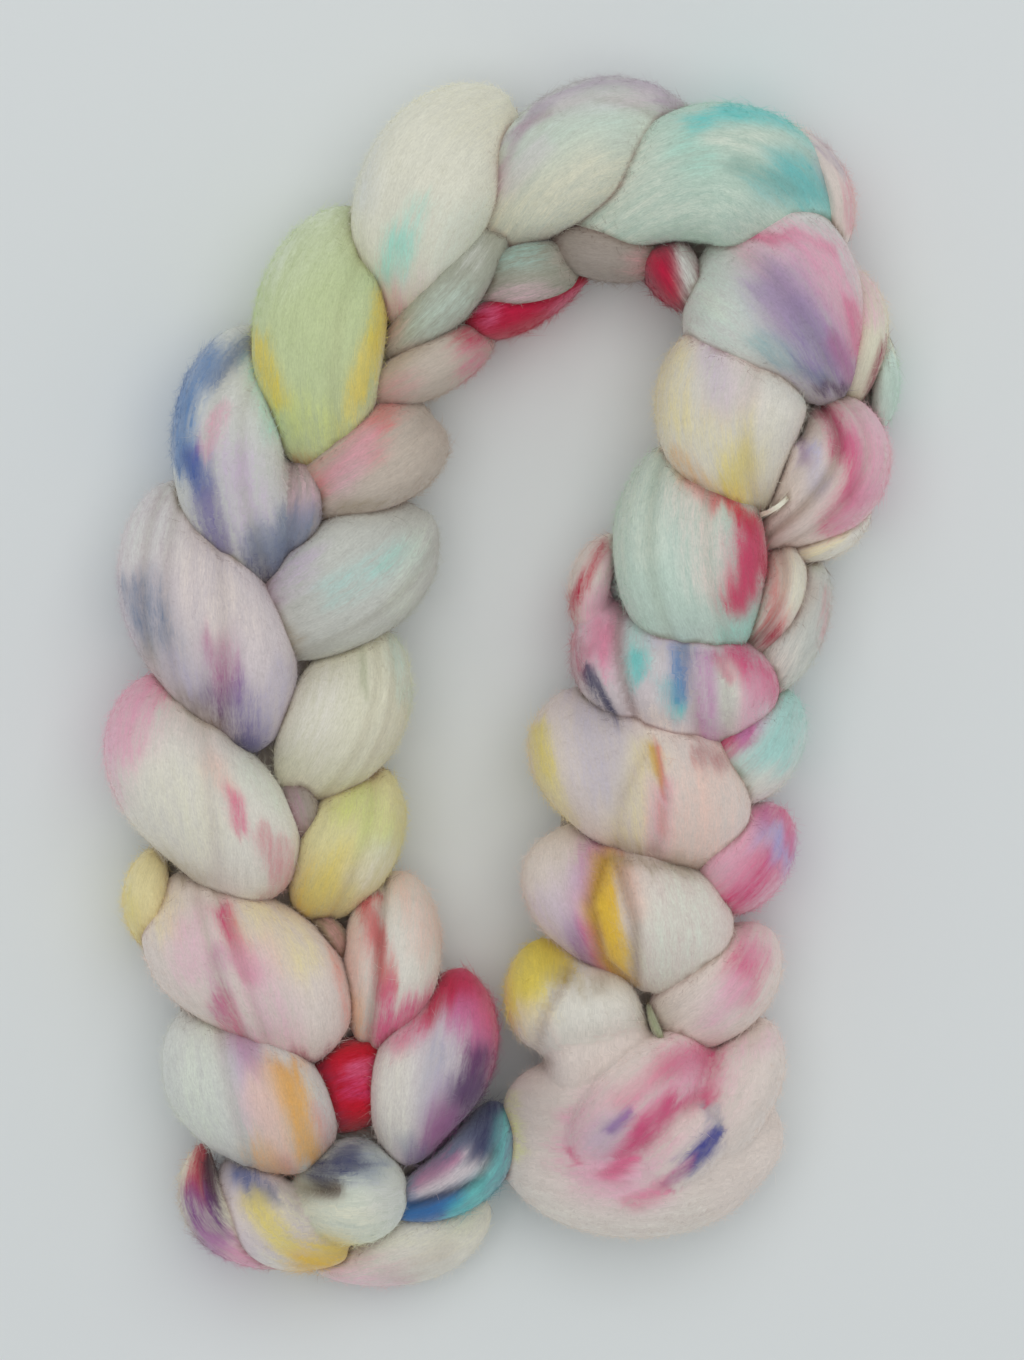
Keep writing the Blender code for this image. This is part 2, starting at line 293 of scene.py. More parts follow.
# The folds, as the part's source has them, each with the colour of its ground, and two strands
# that slip out between them. A fold runs from its start over its belly to its end. Each of the three
# has a place seen from above, a width and a top height. Roll raises the edge on the left of that
# way, and skew sets that edge ahead and the other one back.
Fold = namedtuple(
    "Fold",
    "name start_x start_y belly_x belly_y end_x end_y start_width belly_width end_width "
    "start_top belly_top end_top roll skew ground",
)
# Grounds in the tones of painted shade darken folds that lie in shade or deep in a gap.
FOLDS = [Fold(*row) for row in [
    # Across the top of the horseshoe.
    ("cream_top", 3.5, 173.5, -22.5, 147, -29.5, 106, 29.5, 41.5, 24, 34, 55, 40, 2, 0, "ivory"),
    ("cream_slip", -1, 138, -15.5, 116.5, -37, 96.5, 17, 17, 13, 36, 46, 36, 0, 0, "shade_sage"),
    ("lilac_top", 58.5, 163, 23.5, 159.5, -4, 129.5, 26.5, 38, 27.5, 30, 52, 36, -1, 0, "dim_sage"),
    ("aqua_top", 20.5, 131.5, 64, 152, 92.5, 126, 29, 42.5, 41.5, 38, 56, 42, -2, 0, "shade_mint"),
    ("pink_rim", 80, 167.5, 98.5, 150.5, 98.5, 126.5, 9, 10, 9.5, 30, 42, 34, 0, 0, "pink_white"),
    # Left arm, outer row, from the top down.
    ("green", -40, 139, -54.5, 107.5, -53.5, 62.5, 29.5, 40, 33.5, 30, 54, 42, 3, 2.5, "celery"),
    ("blue", -70, 103, -82, 71, -73, 26.5, 27.5, 34, 32, 28, 52, 42, 3, 5, "grey_white"),
    ("blue_side", -62.5, 69, -60, 51, -67, 33.5, 11, 12.5, 10, 32, 43, 32, 0, 0, "shade_lilac"),
    ("slate", -87.5, 55, -88.5, 20, -86.5, -17, 30, 53, 35, 30, 52, 42, 3, 15, "lilac_white"),
    ("rose_left", -91, -2.5, -90, -32.5, -86, -64, 31, 56.5, 36, 30, 53, 43, 3, 14.5, "cream"),
    ("gold_tip", -102.5, -50.5, -107, -65.5, -102, -82, 10, 14, 10, 28, 38, 28, 0, 0, "butter"),
    ("cream_left", -86.5, -57, -76.5, -84.5, -67.5, -113, 31, 56.5, 35, 30, 52, 42, 3, 12, "pink_white"),
    ("peach_left", -82, -96, -76.5, -121, -71, -147, 29, 48.5, 38.5, 30, 50, 42, 3, 8.5, "grey_white"),
    ("plum_foot", -89.5, -138, -87.5, -160, -65, -175, 8.5, 15, 9, 28, 42, 28, 0, 0, "butter_white"),
    ("foot_lobe", -76.5, -140.5, -70.5, -162, -46, -171.5, 20, 24, 13, 26, 43, 30, 0, 0, "lilac_white"),
    # Left arm, inner row, from the top down.
    ("in_pink", -4, 106, -20, 95.5, -44, 84, 13, 17.5, 15, 28, 42, 34, 0, 0, "shade_cream"),
    ("in_rose", -20.5, 80, -36.5, 67.5, -64, 52, 24, 30, 22, 30, 45, 34, 0, 0, "shade_cream"),
    ("in_mint", -25.5, 53, -45.5, 31, -77, 14.5, 27, 38.5, 27, 28, 46, 34, 0, 0, "shade_grey"),
    ("in_cream", -47, 15.5, -47.5, -9.5, -62.5, -35.5, 30, 37, 26, 28, 46, 34, 0, -4, "butter_white"),
    ("mauve_gap", -65, -28, -60.5, -39, -57.5, -55, 9, 11.5, 7, 30, 37, 30, 0, 0, "shade_stone"),
    ("in_yellow", -42.5, -26.5, -46.5, -49, -56, -72, 24.5, 30.5, 22, 28, 45, 34, 0, -4, "straw"),
    ("stone_gap", -59.5, -70, -50.5, -77, -46, -89, 6, 8, 5, 30, 36, 30, 0, 0, "bark"),
    ("in_peach", -33.5, -57, -33.5, -82, -38.5, -111.5, 21.5, 29.5, 22, 28, 45, 36, 0, 0, "cream"),
    ("red_tuck", -30.5, -116, -46, -121, -61.5, -128, 25, 27.5, 25, 32, 35, 30, 0, 0, "cherry"),
    ("in_violet", -16, -87, -21, -115, -25.5, -144.5, 19, 36.5, 18, 30, 47, 36, 0, -6, "lilac_white"),
    # The tucked end at the foot of the left arm.
    ("knot", -63.5, -149.5, -46, -152.5, -28.5, -150.5, 18.5, 32, 23, 34, 47, 38, 0, 0, "sage_white"),
    ("blue_foot", -2.5, -125.5, -10, -146, -34.5, -158.5, 16, 20.5, 15, 24, 36, 32, 0, 0, "slate"),
    ("under_foot", -5.5, -155.5, -25.5, -169, -55.5, -176.5, 18, 23, 12, 16, 24, 18, 0, 0, "cream"),
    # Inside the bend.
    ("in_aqua", 23, 126.5, 7.5, 122, -11, 117, 17.5, 20, 17.5, 28, 42, 32, 0, 0, "deep_sage"),
    ("crimson_bend", 25.5, 123.5, 5.5, 112, -13.5, 107, 6, 12.5, 11.5, 24, 35, 30, 0, 0, "crimson"),
    ("in_stone", 49.5, 129, 31.5, 129.5, 13.5, 132.5, 17, 18, 16, 28, 36, 32, 0, 0, "shade_stone"),
    ("in_crimson", 46, 133, 50.5, 124, 58.5, 111.5, 14, 17, 12, 26, 38, 30, 0, 0, "wine"),
    # Right arm, outer row, from the top down.
    ("berry_right", 60.5, 131, 82, 113.5, 99.5, 84, 56, 54.5, 22, 38, 54, 42, 2, 0, "grey_white"),
    ("pale_rim", 104, 124, 109.5, 105, 103, 83.5, 10, 12.5, 10, 28, 38, 30, 0, 0, "butter_white"),
    ("aqua_rim", 110.5, 109, 115, 92, 112, 75, 7, 8.5, 7, 22, 28, 22, 0, 0, "pale_mint"),
    ("rose_right", 94.5, 84.5, 99.5, 64, 77, 41.5, 19, 32, 17.5, 32, 47, 36, 0, 0, "pink_white"),
    ("rose_under", 109.5, 54.5, 100.5, 43, 80.5, 37, 6.5, 8.5, 8, 22, 32, 28, 0, 0, "cream"),
    ("cream_right", 82.5, 42.5, 83.5, 25, 71.5, 8, 14.5, 15, 11.5, 30, 43, 34, 0, 0, "cream"),
    ("grey_right", 92.5, 38, 88, 17, 75.5, -5, 12.5, 18, 15, 26, 38, 32, 0, 0, "shade_grey"),
    ("aqua_right", 85, -2, 75.5, -20, 61, -32.5, 18, 26, 21.5, 28, 43, 34, 0, 0, "grey_white"),
    ("pink_right", 83, -37, 71.5, -54, 58.5, -67, 19, 27, 18.5, 28, 43, 34, 0, 0, "pale_pink"),
    ("spot_right", 76.5, -72, 65, -90.5, 43.5, -106, 20.5, 31, 21.5, 28, 44, 34, 0, 0, "pink_white"),
    # Right arm, inner row, from the top down.
    ("gold_in", 79, 104, 68, 80.5, 74.5, 48, 38, 44.5, 25, 38, 55, 43, 2, 0, "cream"),
    ("crimson_in", 61, 72, 56, 39, 65.5, 5.5, 35, 46, 36, 30, 55, 46, 2, 0, "pale_mint"),
    ("crimson_slip", 34.5, 44, 26.5, 31, 26, 12.5, 8, 12, 10, 24, 36, 30, 0, 0, "pink_white"),
    ("multi_in", 50, 23.5, 51.5, 4, 56, -22, 45, 61, 47, 24, 51, 43, 2, 6.5, "lilac_white"),
    ("peach_in", 35.5, -1, 41, -27, 45, -56, 45, 63.5, 47.5, 28, 53, 44, 2, 9.5, "pink_white"),
    ("lilac_in", 32.5, -43, 37.5, -66.5, 43, -93, 42, 60, 39, 28, 52, 43, 2, 9, "pink_white"),
    ("yellow_in", 17, -77, 21, -96.5, 26.5, -114.5, 27.5, 39.5, 33.5, 26, 47, 38, 2, 4, "cream"),
    # The loose end, fluffed out at the foot of the right arm.
    ("puff_neck", 24.5, -91, 28.5, -108, 32.5, -129, 27, 33.5, 33.5, 34, 44, 40, 0, 0, "pink_white"),
    ("puff", -1, -130, 41, -135.5, 82, -126.5, 50.5, 62, 49, 26, 47, 28, 3, 0, "pink_white"),
    ("puff_rim", 75.5, -101, 70, -123, 49.5, -153, 17, 23.5, 18, 26, 44, 34, 0, 0, "pink_white"),
    ("puff_petal", 65.5, -120, 53.5, -138, 29, -154, 18, 24.5, 17, 34, 51, 36, 0, 0, "pink_white"),
    ("puff_roll", 60.5, -107, 41, -125, 20, -147, 18.5, 29.5, 18.5, 40, 56, 42, -3, 0, "pink_white"),
    # Strands that slip out between folds.
    ("green_strand", 43.5, -96, 46, -104, 50, -111, 2.5, 3.5, 2.5, 38, 42, 38, 0, 0, "moss"),
    ("white_wisp", 86.5, 57.5, 81.5, 52, 74.5, 49.5, 1.2, 1.8, 1, 44, 46, 43, 0, 0, "ivory"),
]]

# Patches of dye, each along a line seen from above, with the reach to which it fades and its depth.
# Patches in the stone, bark and olive tones are painted shade along edges and in gaps.
Dye = namedtuple("Dye", "colour start_x start_y end_x end_y reach depth")
DYES = {
    "cream_top": [
        ("mint", -33.5, 122, -30.5, 129.5, 5, 0.7),
        ("mint", -30.5, 129.5, -25, 140.5, 4, 0.4),
        ("dusty_rose", -34, 109, -30, 99.5, 6.5, 0.55),
        ("pale_pink", -32.5, 114.5, -19, 117, 6.5, 0.3),
        ("sage_white", -10.5, 134, -15.5, 114.5, 10, 0.5),
        ("grey_white", -40, 167, -42.5, 144.5, 5.5, 0.5),
        ("butter_white", -10, 168.5, -1, 165.5, 9, 0.4),
    ],
    "cream_slip": [
        ("dusty_rose", -33.5, 105.5, -30.5, 98, 5.5, 0.55),
        ("pale_mint", -29.5, 99, -14.5, 113, 6.5, 0.4),
        ("grey_white", -10, 126, -7.5, 132.5, 4, 0.4),
    ],
    "lilac_top": [
        ("grey_lilac", 0.5, 159.5, 12.5, 173, 2, 0.7),
        ("grey_lilac", 12.5, 173, 29, 180, 3, 0.75),
        ("grey_lilac", 29, 179.5, 44, 179.5, 4, 0.7),
        ("grey_lilac", 44, 179, 56.5, 168, 5.5, 0.85),
        ("mauve", -2, 147, 4, 163, 2, 0.55),
        ("mauve", 3.5, 163.5, 13.5, 168.5, 1.5, 0.45),
        ("lilac_white", 17, 171, 44, 174.5, 3.5, 0.7),
        ("pale_mint", 8, 156.5, 29, 166, 10, 0.5),
        ("butter_white", 2, 138, 26, 151, 11, 0.7),
        ("lilac_white", 0.5, 147.5, 11, 159.5, 4, 0.5),
        # painted shade along its lower edge
        ("stone", 5, 132.5, 17, 132.5, 3.5, 0.4),
    ],
    "aqua_top": [
        ("sage_white", 30.5, 137, 41, 152, 12, 0.55),
        ("turquoise", 56, 165.5, 68.5, 168.5, 3.5, 0.65),
        ("turquoise", 69.5, 170.5, 84.5, 168, 4, 0.8),
        ("turquoise", 84.5, 167.5, 90.5, 162.5, 3, 0.55),
        ("sage_white", 65, 162, 86, 159.5, 5.5, 0.45),
        ("teal", 85.5, 151, 96.5, 143.5, 8, 0.85),
        ("deep_teal", 69.5, 153.5, 86, 146, 3, 0.5),
        ("teal", 77, 147, 89, 144.5, 5, 0.4),
        ("grey_lilac", 95, 159.5, 100.5, 146, 3.5, 0.55),
        ("pale_aqua", 97, 140, 92, 135, 4, 0.6),
        ("mint", 53, 159.5, 59, 155, 5.5, 0.3),
        ("sage_white", 41, 144.5, 77, 137, 9, 0.3),
    ],
    "pink_rim": [
        ("rose", 103, 152, 104, 136, 2, 0.35),
        ("grey_lilac", 94.5, 162.5, 99.5, 155, 3, 0.5),
    ],
    "green": [
        ("sage_white", -52, 140, -70, 129.5, 13.5, 0.45),
        ("sun", -35.5, 115, -37.5, 101, 3.5, 0.85),
        ("sun", -37, 102.5, -42.5, 87, 3.5, 0.75),
        ("yellow", -41, 99.5, -46, 78.5, 3, 0.7),
        ("sun", -72.5, 101, -67, 84, 3.5, 0.75),
        ("cream", -34, 102.5, -37, 77, 2, 0.6),
        ("amber", -61.5, 65, -50.5, 65, 3.5, 0.6),
        ("celery", -52, 129.5, -55, 105.5, 12, 0.5),
        ("lime", -61, 78.5, -49, 72.5, 8, 0.5),
    ],
    "blue": [
        ("slate", -75.5, 101, -86, 93.5, 5, 0.8),
        ("denim", -88.5, 98, -95.5, 86, 5.5, 0.8),
        ("denim", -96.5, 86, -95.5, 66, 5, 0.9),
        ("royal", -92.5, 67, -89, 57, 4, 0.85),
        ("pink", -84.5, 79, -87.5, 69, 3.5, 0.55),
        ("indigo_lilac", -88.5, 53, -84.5, 39, 5, 0.8),
        ("mint", -72.5, 94, -66.5, 75.5, 5, 0.5),
        ("pale_lilac", -79, 63.5, -72.5, 42.5, 8, 0.5),
        ("sage_white", -82.5, 35, -79, 30, 3.5, 0.6),
        ("ink", -77, 30.5, -65.5, 39, 5.5, 0.65),
        ("slate", -72.5, 40, -62.5, 48.5, 5.5, 0.7),
    ],
    "blue_side": [
        ("pale_pink", -60.5, 62, -58, 51.5, 5, 0.4),
        ("slate", -58.5, 48, -65.5, 36.5, 5.5, 0.65),
        ("ink", -61, 36.5, -69.5, 30, 4, 0.5),
    ],
    "slate": [
        ("grey_white", -106, 57, -106, 42.5, 11, 0.5),
        ("slate", -106.5, 26, -101, 12, 6.5, 0.55),
        ("slate", -112.5, 29, -106, 9.5, 3, 0.5),
        # painted shade
        ("stone", -106, 8, -99.5, -5.5, 4, 0.5),
        ("mauve", -85, 11, -81.5, -3, 5, 0.6),
        ("pale_violet", -96.5, 4, -92, -3, 5.5, 0.6),
        ("plum", -87.5, -5, -76, -18, 6, 0.45),
        ("ink", -78, -20, -69.5, -24.5, 4, 0.85),
        ("indigo_lilac", -76.5, -5.5, -72.5, -18, 6, 0.55),
        ("pale_violet", -65, 0.5, -68, -17, 5, 0.5),
        ("pink_white", -91, 36.5, -82, 18.5, 10, 0.4),
        # painted shade
        ("bark", -93.5, -5.5, -86.5, -12, 3.5, 0.4),
    ],
    "rose_left": [
        ("pink", -106, 6, -115.5, -14, 10.5, 0.85),
        ("rose", -103, 5, -100, -1, 5.5, 0.4),
        ("pale_pink", -119, -17.5, -117.5, -34, 6, 0.6),
        ("pale_peach", -85.5, -26, -82.5, -33, 4, 0.7),
        ("rose", -80, -34, -78, -43, 3, 0.65),
        ("dusty_rose", -70.5, -46, -65.5, -65, 3.5, 0.65),
        ("dusty_rose", -65.5, -47, -62, -61, 3, 0.5),
        ("wine", -72.5, -67, -61.5, -66.5, 3, 0.55),
        ("sage_white", -75.5, -25, -67, -35.5, 5, 0.5),
        ("pink_white", -95.5, -12, -86.5, -21, 5.5, 0.5),
        # painted shade
        ("bark", -106, -52, -91, -59.5, 5, 0.35),
        ("butter_white", -97, -32.5, -91, -44.5, 11, 0.35),
    ],
    "gold_tip": [
        ("yellow", -112, -65.5, -109, -77.5, 3, 0.4),
    ],
    "cream_left": [
        ("pale_pink", -94, -73, -92, -84, 6.5, 0.65),
        ("raspberry", -83, -69, -75.5, -85, 3.5, 0.8),
        ("pink", -82, -80.5, -72.5, -86, 3.5, 0.5),
        ("raspberry", -83, -95.5, -79, -109, 3.5, 0.65),
        ("mauve", -84.5, -82, -83.5, -98.5, 3.5, 0.35),
        ("butter", -72.5, -71, -61, -82, 8, 0.55),
        ("pale_pink", -72.5, -82, -67, -111, 8, 0.5),
        ("coral", -52, -74.5, -46, -98.5, 2, 0.35),
        ("wine", -67, -113, -50.5, -114, 3.5, 0.5),
        ("rose", -79, -109, -67, -113.5, 3, 0.4),
        # painted shade along its upper edge
        ("bark", -98.5, -54, -85, -59.5, 3.5, 0.5),
        ("butter", -100, -65.5, -101, -74.5, 4, 0.4),
    ],
    "peach_left": [
        ("sage_white", -88, -110.5, -92, -131.5, 9, 0.5),
        ("pale_lilac", -77.5, -109, -72.5, -128, 6, 0.8),
        ("mauve", -80, -103, -74, -114, 4, 0.45),
        ("pale_peach", -71.5, -122, -66.5, -140.5, 7, 0.9),
        ("peach", -69.5, -114, -64, -122.5, 4, 0.6),
        ("orange", -64, -116, -57.5, -140, 5, 0.9),
        ("dusty_rose", -65.5, -143.5, -64, -147.5, 3, 0.6),
        ("dusty_rose", -54.5, -129, -52, -138, 3, 0.5),
        ("orange", -72.5, -140.5, -68, -147, 5, 0.5),
    ],
    "plum_foot": [
        ("crimson", -89.5, -138, -92, -151, 3.5, 0.9),
        ("maroon", -88, -144.5, -87.5, -152.5, 3, 0.95),
        ("violet", -92, -154, -87.5, -169, 5, 0.75),
        ("plum", -86, -154, -84.5, -164, 3, 0.55),
        ("orchid", -84.5, -167.5, -75.5, -176.5, 5.5, 0.65),
        ("pink", -79, -172, -69.5, -178, 5, 0.7),
    ],
    "foot_lobe": [
        ("lilac_white", -82.5, -149, -76, -165, 5.5, 0.6),
        ("royal", -78.5, -147.5, -70.5, -154, 4, 0.75),
        ("yellow", -73.5, -156.5, -64, -168, 5, 0.8),
        ("gold", -59.5, -174.5, -50.5, -172, 6, 0.85),
        ("yellow", -55, -168.5, -46, -170.5, 4, 0.5),
        ("cream", -70, -174, -64, -177, 4, 0.5),
    ],
    "in_pink": [
        ("rose", -7, 104, -9.5, 93, 5, 0.45),
        ("dusty_rose", -35.5, 85, -30.5, 90, 5.5, 0.4),
        ("crimson", -13, 107, -10, 104, 4, 0.5),
    ],
    "in_rose": [
        ("coral_rose", -35, 82, -42.5, 69, 5.5, 0.75),
        ("coral_rose", -49, 64, -54.5, 60, 5, 0.6),
        ("pale_pink", -40.5, 72.5, -49, 60.5, 5, 0.5),
        # painted shade
        ("bark", -47.5, 53, -37, 53.5, 2, 0.4),
    ],
    "in_mint": [
        ("pale_aqua", -28.5, 39, -49, 27.5, 5.5, 0.38),
        ("mint", -30.5, 39.5, -34.5, 35, 2, 0.35),
        # painted shade at its left end
        ("bark", -72.5, 25, -64, 11, 3.5, 0.4),
        ("pale_lilac", -61, 35, -72.5, 27.5, 7, 0.5),
        ("grey_lilac", -70, 24, -74, 21, 5, 0.6),
        ("sage_white", -25, 42.5, -30.5, 24.5, 4, 0.5),
    ],
    "in_cream": [
        ("pale_mint", -32.5, 12.5, -29.5, -5.5, 3, 0.5),
        ("moss", -42.5, 9.5, -41, -2.5, 1.5, 0.4),
        ("cream", -55, -2.5, -57.5, -17.5, 9, 0.5),
    ],
    "mauve_gap": [
        ("mauve", -64, -32.5, -61, -50.5, 3.5, 0.3),
    ],
    "in_yellow": [
        ("gold", -59, -66, -52, -57, 6.5, 0.48),
        ("yellow", -55.5, -63, -46, -53.5, 7, 0.7),
        ("lime", -41, -35.5, -37.5, -46, 6, 0.6),
        ("lemon", -47.5, -37, -46, -39, 4, 0.5),
        ("cream", -42.5, -57, -36.5, -50.5, 5.5, 0.5),
    ],
    "stone_gap": [
        ("dusty_rose", -52, -71.5, -47.5, -80.5, 2, 0.5),
    ],
    "in_peach": [
        ("pale_peach", -46, -76, -45.5, -98.5, 5.5, 0.85),
        ("orange", -45.5, -95.5, -44, -104.5, 3.5, 0.45),
        ("coral_rose", -41, -67, -37.5, -79, 3, 0.9),
        ("coral_rose", -38, -77.5, -34.5, -92, 3.5, 0.9),
        ("rose", -35, -92.5, -35, -107, 3.5, 0.6),
        ("rose", -34.5, -106, -24.5, -98.5, 5.5, 0.85),
        ("pale_peach", -29.5, -56.5, -21.5, -77.5, 6.5, 0.6),
        ("cherry", -42.5, -66, -37, -65, 2, 0.5),
    ],
    "red_tuck": [
        ("rose", -45.5, -117, -36.5, -115, 3.5, 0.6),
        ("raspberry", -47.5, -121, -37.5, -123, 3, 0.5),
        ("wine", -55.5, -116.5, -50.5, -131.5, 3.5, 0.5),
        ("maroon", -61, -116, -55, -113, 3, 0.5),
    ],
    "in_violet": [
        ("cream", -32, -114, -33.5, -133, 9, 0.85),
        ("pale_violet", -17.5, -98.5, -19, -125.5, 7, 0.35),
        ("slate", -19, -110.5, -22, -128.5, 5, 0.2),
        ("raspberry", -16.5, -88, -9.5, -92.5, 8, 0.85),
        ("raspberry", -10, -91, -2.5, -101, 9, 0.8),
        ("crimson", -16, -87, -11, -90.5, 5, 0.7),
        ("rose", -4, -100, -1.5, -119.5, 7, 0.85),
        ("orchid", -12.5, -98.5, -8.5, -106, 5.5, 0.4),
        ("pale_lilac", -17, -122.5, -19.5, -131, 5.5, 0.5),
        ("plum", -7, -111.5, -10, -123, 5.5, 0.88),
        ("plum", -10.5, -123, -16, -135, 6.5, 0.85),
        ("violet", -16, -135, -23, -143.5, 6.5, 0.9),
        ("mauve", -18.5, -129, -20.5, -137.5, 5, 0.4),
        ("crimson", -22.5, -99.5, -17, -90.5, 3.5, 0.8),
        ("rose", -31, -106, -25, -102, 4, 0.6),
        ("slate", -28.5, -137.5, -25.5, -143.5, 4, 0.4),
    ],
    "knot": [
        ("grey_white", -35.5, -154, -31, -158.5, 8, 0.6),
        ("butter_white", -61, -155.5, -43, -163, 8, 0.5),
        ("sage_white", -39.5, -137.5, -31.5, -143.5, 5.5, 0.5),
        # painted shadow in its crease, in the pocket under the dark-tipped lobe
        ("olive", -55.5, -150.5, -49, -150, 2, 0.45),
        ("slate", -45.5, -142, -37.5, -144.5, 5, 0.7),
        ("ink", -53, -146.5, -44, -141.5, 6, 0.85),
    ],
    "blue_foot": [
        ("ink", -3.5, -129, -6.5, -140.5, 5, 0.8),
        ("teal", 0.5, -131.5, 0, -140.5, 3, 0.6),
        ("lilac_white", -22, -151, -8, -144, 4, 0.9),
        ("ink", -27.5, -157, -6.5, -149.5, 1.5, 0.8),
        ("blue", -28.5, -160, -15.5, -157, 4, 0.95),
        ("turquoise", -14.5, -159, -7, -153, 3.5, 0.7),
        ("teal", -7.5, -152.5, -0.5, -144.5, 4, 0.75),
        ("mauve", -25, -149, -16, -143.5, 3, 0.7),
    ],
    "under_foot": [
        ("pale_pink", -49, -178, -34, -179.5, 6.5, 0.55),
        ("butter_white", -22, -167, -7, -160, 8, 0.6),
        ("mauve", -52, -168.5, -39.5, -167.5, 3, 0.5),
        # painted shade
        ("stone", -31, -178, -19, -172, 5, 0.4),
    ],
    "in_aqua": [
        ("pale_aqua", -6.5, 129, 8, 129.5, 5.5, 0.55),
        # painted shade
        ("stone", 17, 128, 21.5, 122, 3, 0.5),
        ("pale_pink", -1, 114.5, 12.5, 116, 4, 0.4),
    ],
    "crimson_bend": [
        ("rose", -10, 113, -5, 109, 3.5, 0.6),
        ("rose", 13.5, 111, 23, 118, 2, 0.5),
        ("rose", -6.5, 101, -7, 94, 2, 0.5),
    ],
    "in_stone": [
        ("dusty_rose", 41, 126, 45.5, 120.5, 4, 0.4),
    ],
    "in_crimson": [
        ("crimson", 44.5, 130, 50.5, 117, 4, 0.85),
        ("grey_white", 55, 128, 57.5, 113, 3.5, 0.85),
    ],
    "berry_right": [
        ("pale_mint", 56, 126, 68, 109, 14.5, 0.4),
        ("pale_pink", 76, 132.5, 85, 111.5, 8.5, 0.8),
        ("grey_violet", 80.5, 114.5, 91, 95, 8.5, 0.45),
        ("rose", 67, 133.5, 97, 130, 2, 0.7),
        ("pink", 92.5, 128, 105.5, 102.5, 9, 0.8),
        ("grey_violet", 82, 117.5, 100, 91, 9.5, 0.62),
        ("grey_violet", 88, 111.5, 98, 95, 4, 0.5),
        ("mauve", 98.5, 101.5, 104.5, 90.5, 3, 0.7),
        ("slate_aqua", 76.5, 101.5, 83.5, 96, 4, 0.55),
        ("rose", 103, 114.5, 106.5, 99.5, 3, 0.6),
        ("pink_white", 107.5, 120.5, 109.5, 105.5, 3, 0.5),
        ("slate", 88, 93.5, 96.5, 89, 2, 0.6),
        ("maroon", 94.5, 87, 103, 87, 2, 0.5),
        ("sage_white", 61, 114.5, 64, 111, 3, 0.4),
    ],
    "pale_rim": [
        ("wine", 114.5, 101, 109, 86, 1.5, 0.7),
        ("pale_pink", 109.5, 120.5, 110.5, 108.5, 4, 0.5),
    ],
    "aqua_rim": [
        ("butter_white", 113, 108.5, 115.5, 101, 4, 0.5),
    ],
    "rose_right": [
        ("periwinkle", 91, 68, 92.5, 59, 4, 0.55),
        ("violet", 89, 72, 90, 64, 2, 0.6),
        ("pink_white", 89, 60.5, 83, 45.5, 9, 0.5),
        ("raspberry", 98, 81, 103, 69.5, 4, 0.7),
        ("raspberry", 103, 69.5, 106, 57.5, 5, 0.75),
        ("raspberry", 105.5, 57.5, 99.5, 48, 5, 0.62),
        ("pink", 109.5, 77, 113, 60.5, 7, 0.7),
        ("pink", 110.5, 57.5, 104, 48.5, 5, 0.6),
        ("wine", 93.5, 80, 96.5, 82, 2, 0.6),
        ("pale_pink", 109.5, 83, 114.5, 77, 5, 0.6),
    ],
    "rose_under": [
        ("butter", 92, 39, 101, 44, 3, 0.4),
    ],
    "cream_right": [
        ("coral_rose", 79.5, 40, 81.5, 15.5, 5, 0.6),
        ("butter_white", 86, 36.5, 89, 24.5, 5, 0.6),
        ("wine", 77, 12.5, 81.5, 15, 3, 0.6),
    ],
    "grey_right": [
        ("dusty_rose", 97, 27.5, 95.5, 12.5, 1.5, 0.5),
        ("moss", 89, 35, 92.5, 36.5, 3, 0.5),
        # painted shade
        ("stone", 86, 18.5, 92, 27.5, 4, 0.35),
        ("cream", 82.5, 6, 89, 0.5, 6.5, 0.5),
    ],
    "aqua_right": [
        ("pale_aqua", 86.5, -5.5, 82.5, -19, 7, 0.9),
        ("pale_aqua", 80, -19, 71.5, -26.5, 6, 0.5),
        ("raspberry", 60.5, -21.5, 72.5, -14, 4, 0.9),
        ("orchid", 71.5, -15, 76, -9, 3.5, 0.8),
        ("cream", 72.5, -32.5, 84.5, -33, 6.5, 0.6),
    ],
    "pink_right": [
        ("raspberry", 77.5, -54, 69.5, -65.5, 6.5, 0.78),
        ("periwinkle", 79, -43, 84.5, -50.5, 5, 0.75),
        ("raspberry", 69.5, -41, 83.5, -39, 3, 0.55),
        ("rose", 85.5, -41.5, 86, -50.5, 2, 0.7),
        ("pink", 65, -54, 68, -56.5, 5.5, 0.6),
        ("pink", 74, -46, 71, -50.5, 5.5, 0.6),
    ],
    "spot_right": [
        ("raspberry", 73.5, -82, 71, -91, 6, 0.7),
        ("pale_pink", 69.5, -91, 62.5, -98.5, 5.5, 0.7),
        ("pink", 73.5, -76, 76, -79, 5.5, 0.5),
        ("pink_white", 56, -95.5, 53, -100, 5.5, 0.5),
        ("pale_pink", 66.5, -70, 80, -67, 4, 0.5),
    ],
    "gold_in": [
        ("butter", 50.5, 99.5, 50.5, 81.5, 8, 0.55),
        ("pale_lilac", 62.5, 103, 65.5, 84.5, 7, 0.6),
        ("pink_white", 69.5, 96.5, 72.5, 84.5, 5.5, 0.5),
        ("butter", 59, 75.5, 72.5, 72.5, 9, 0.4),
        ("yellow", 71.5, 65, 68, 55, 7, 0.85),
        ("cream", 82, 78.5, 80.5, 63.5, 8, 0.5),
        ("pale_mint", 91.5, 86, 94, 81, 3, 0.7),
        ("orange", 52, 68, 58, 59.5, 3, 0.45),
        ("dusty_rose", 86, 57.5, 89, 66.5, 3, 0.4),
    ],
    "crimson_in": [
        ("sage_white", 41, 63.5, 38.5, 42.5, 9, 0.4),
        ("orange", 49.5, 69, 56, 60, 3, 0.55),
        ("cherry", 56, 59.5, 65.5, 53.5, 3, 0.7),
        ("cherry", 65, 54, 74, 48, 3.5, 0.8),
        ("pink_white", 56, 54.5, 62.5, 32, 8, 0.6),
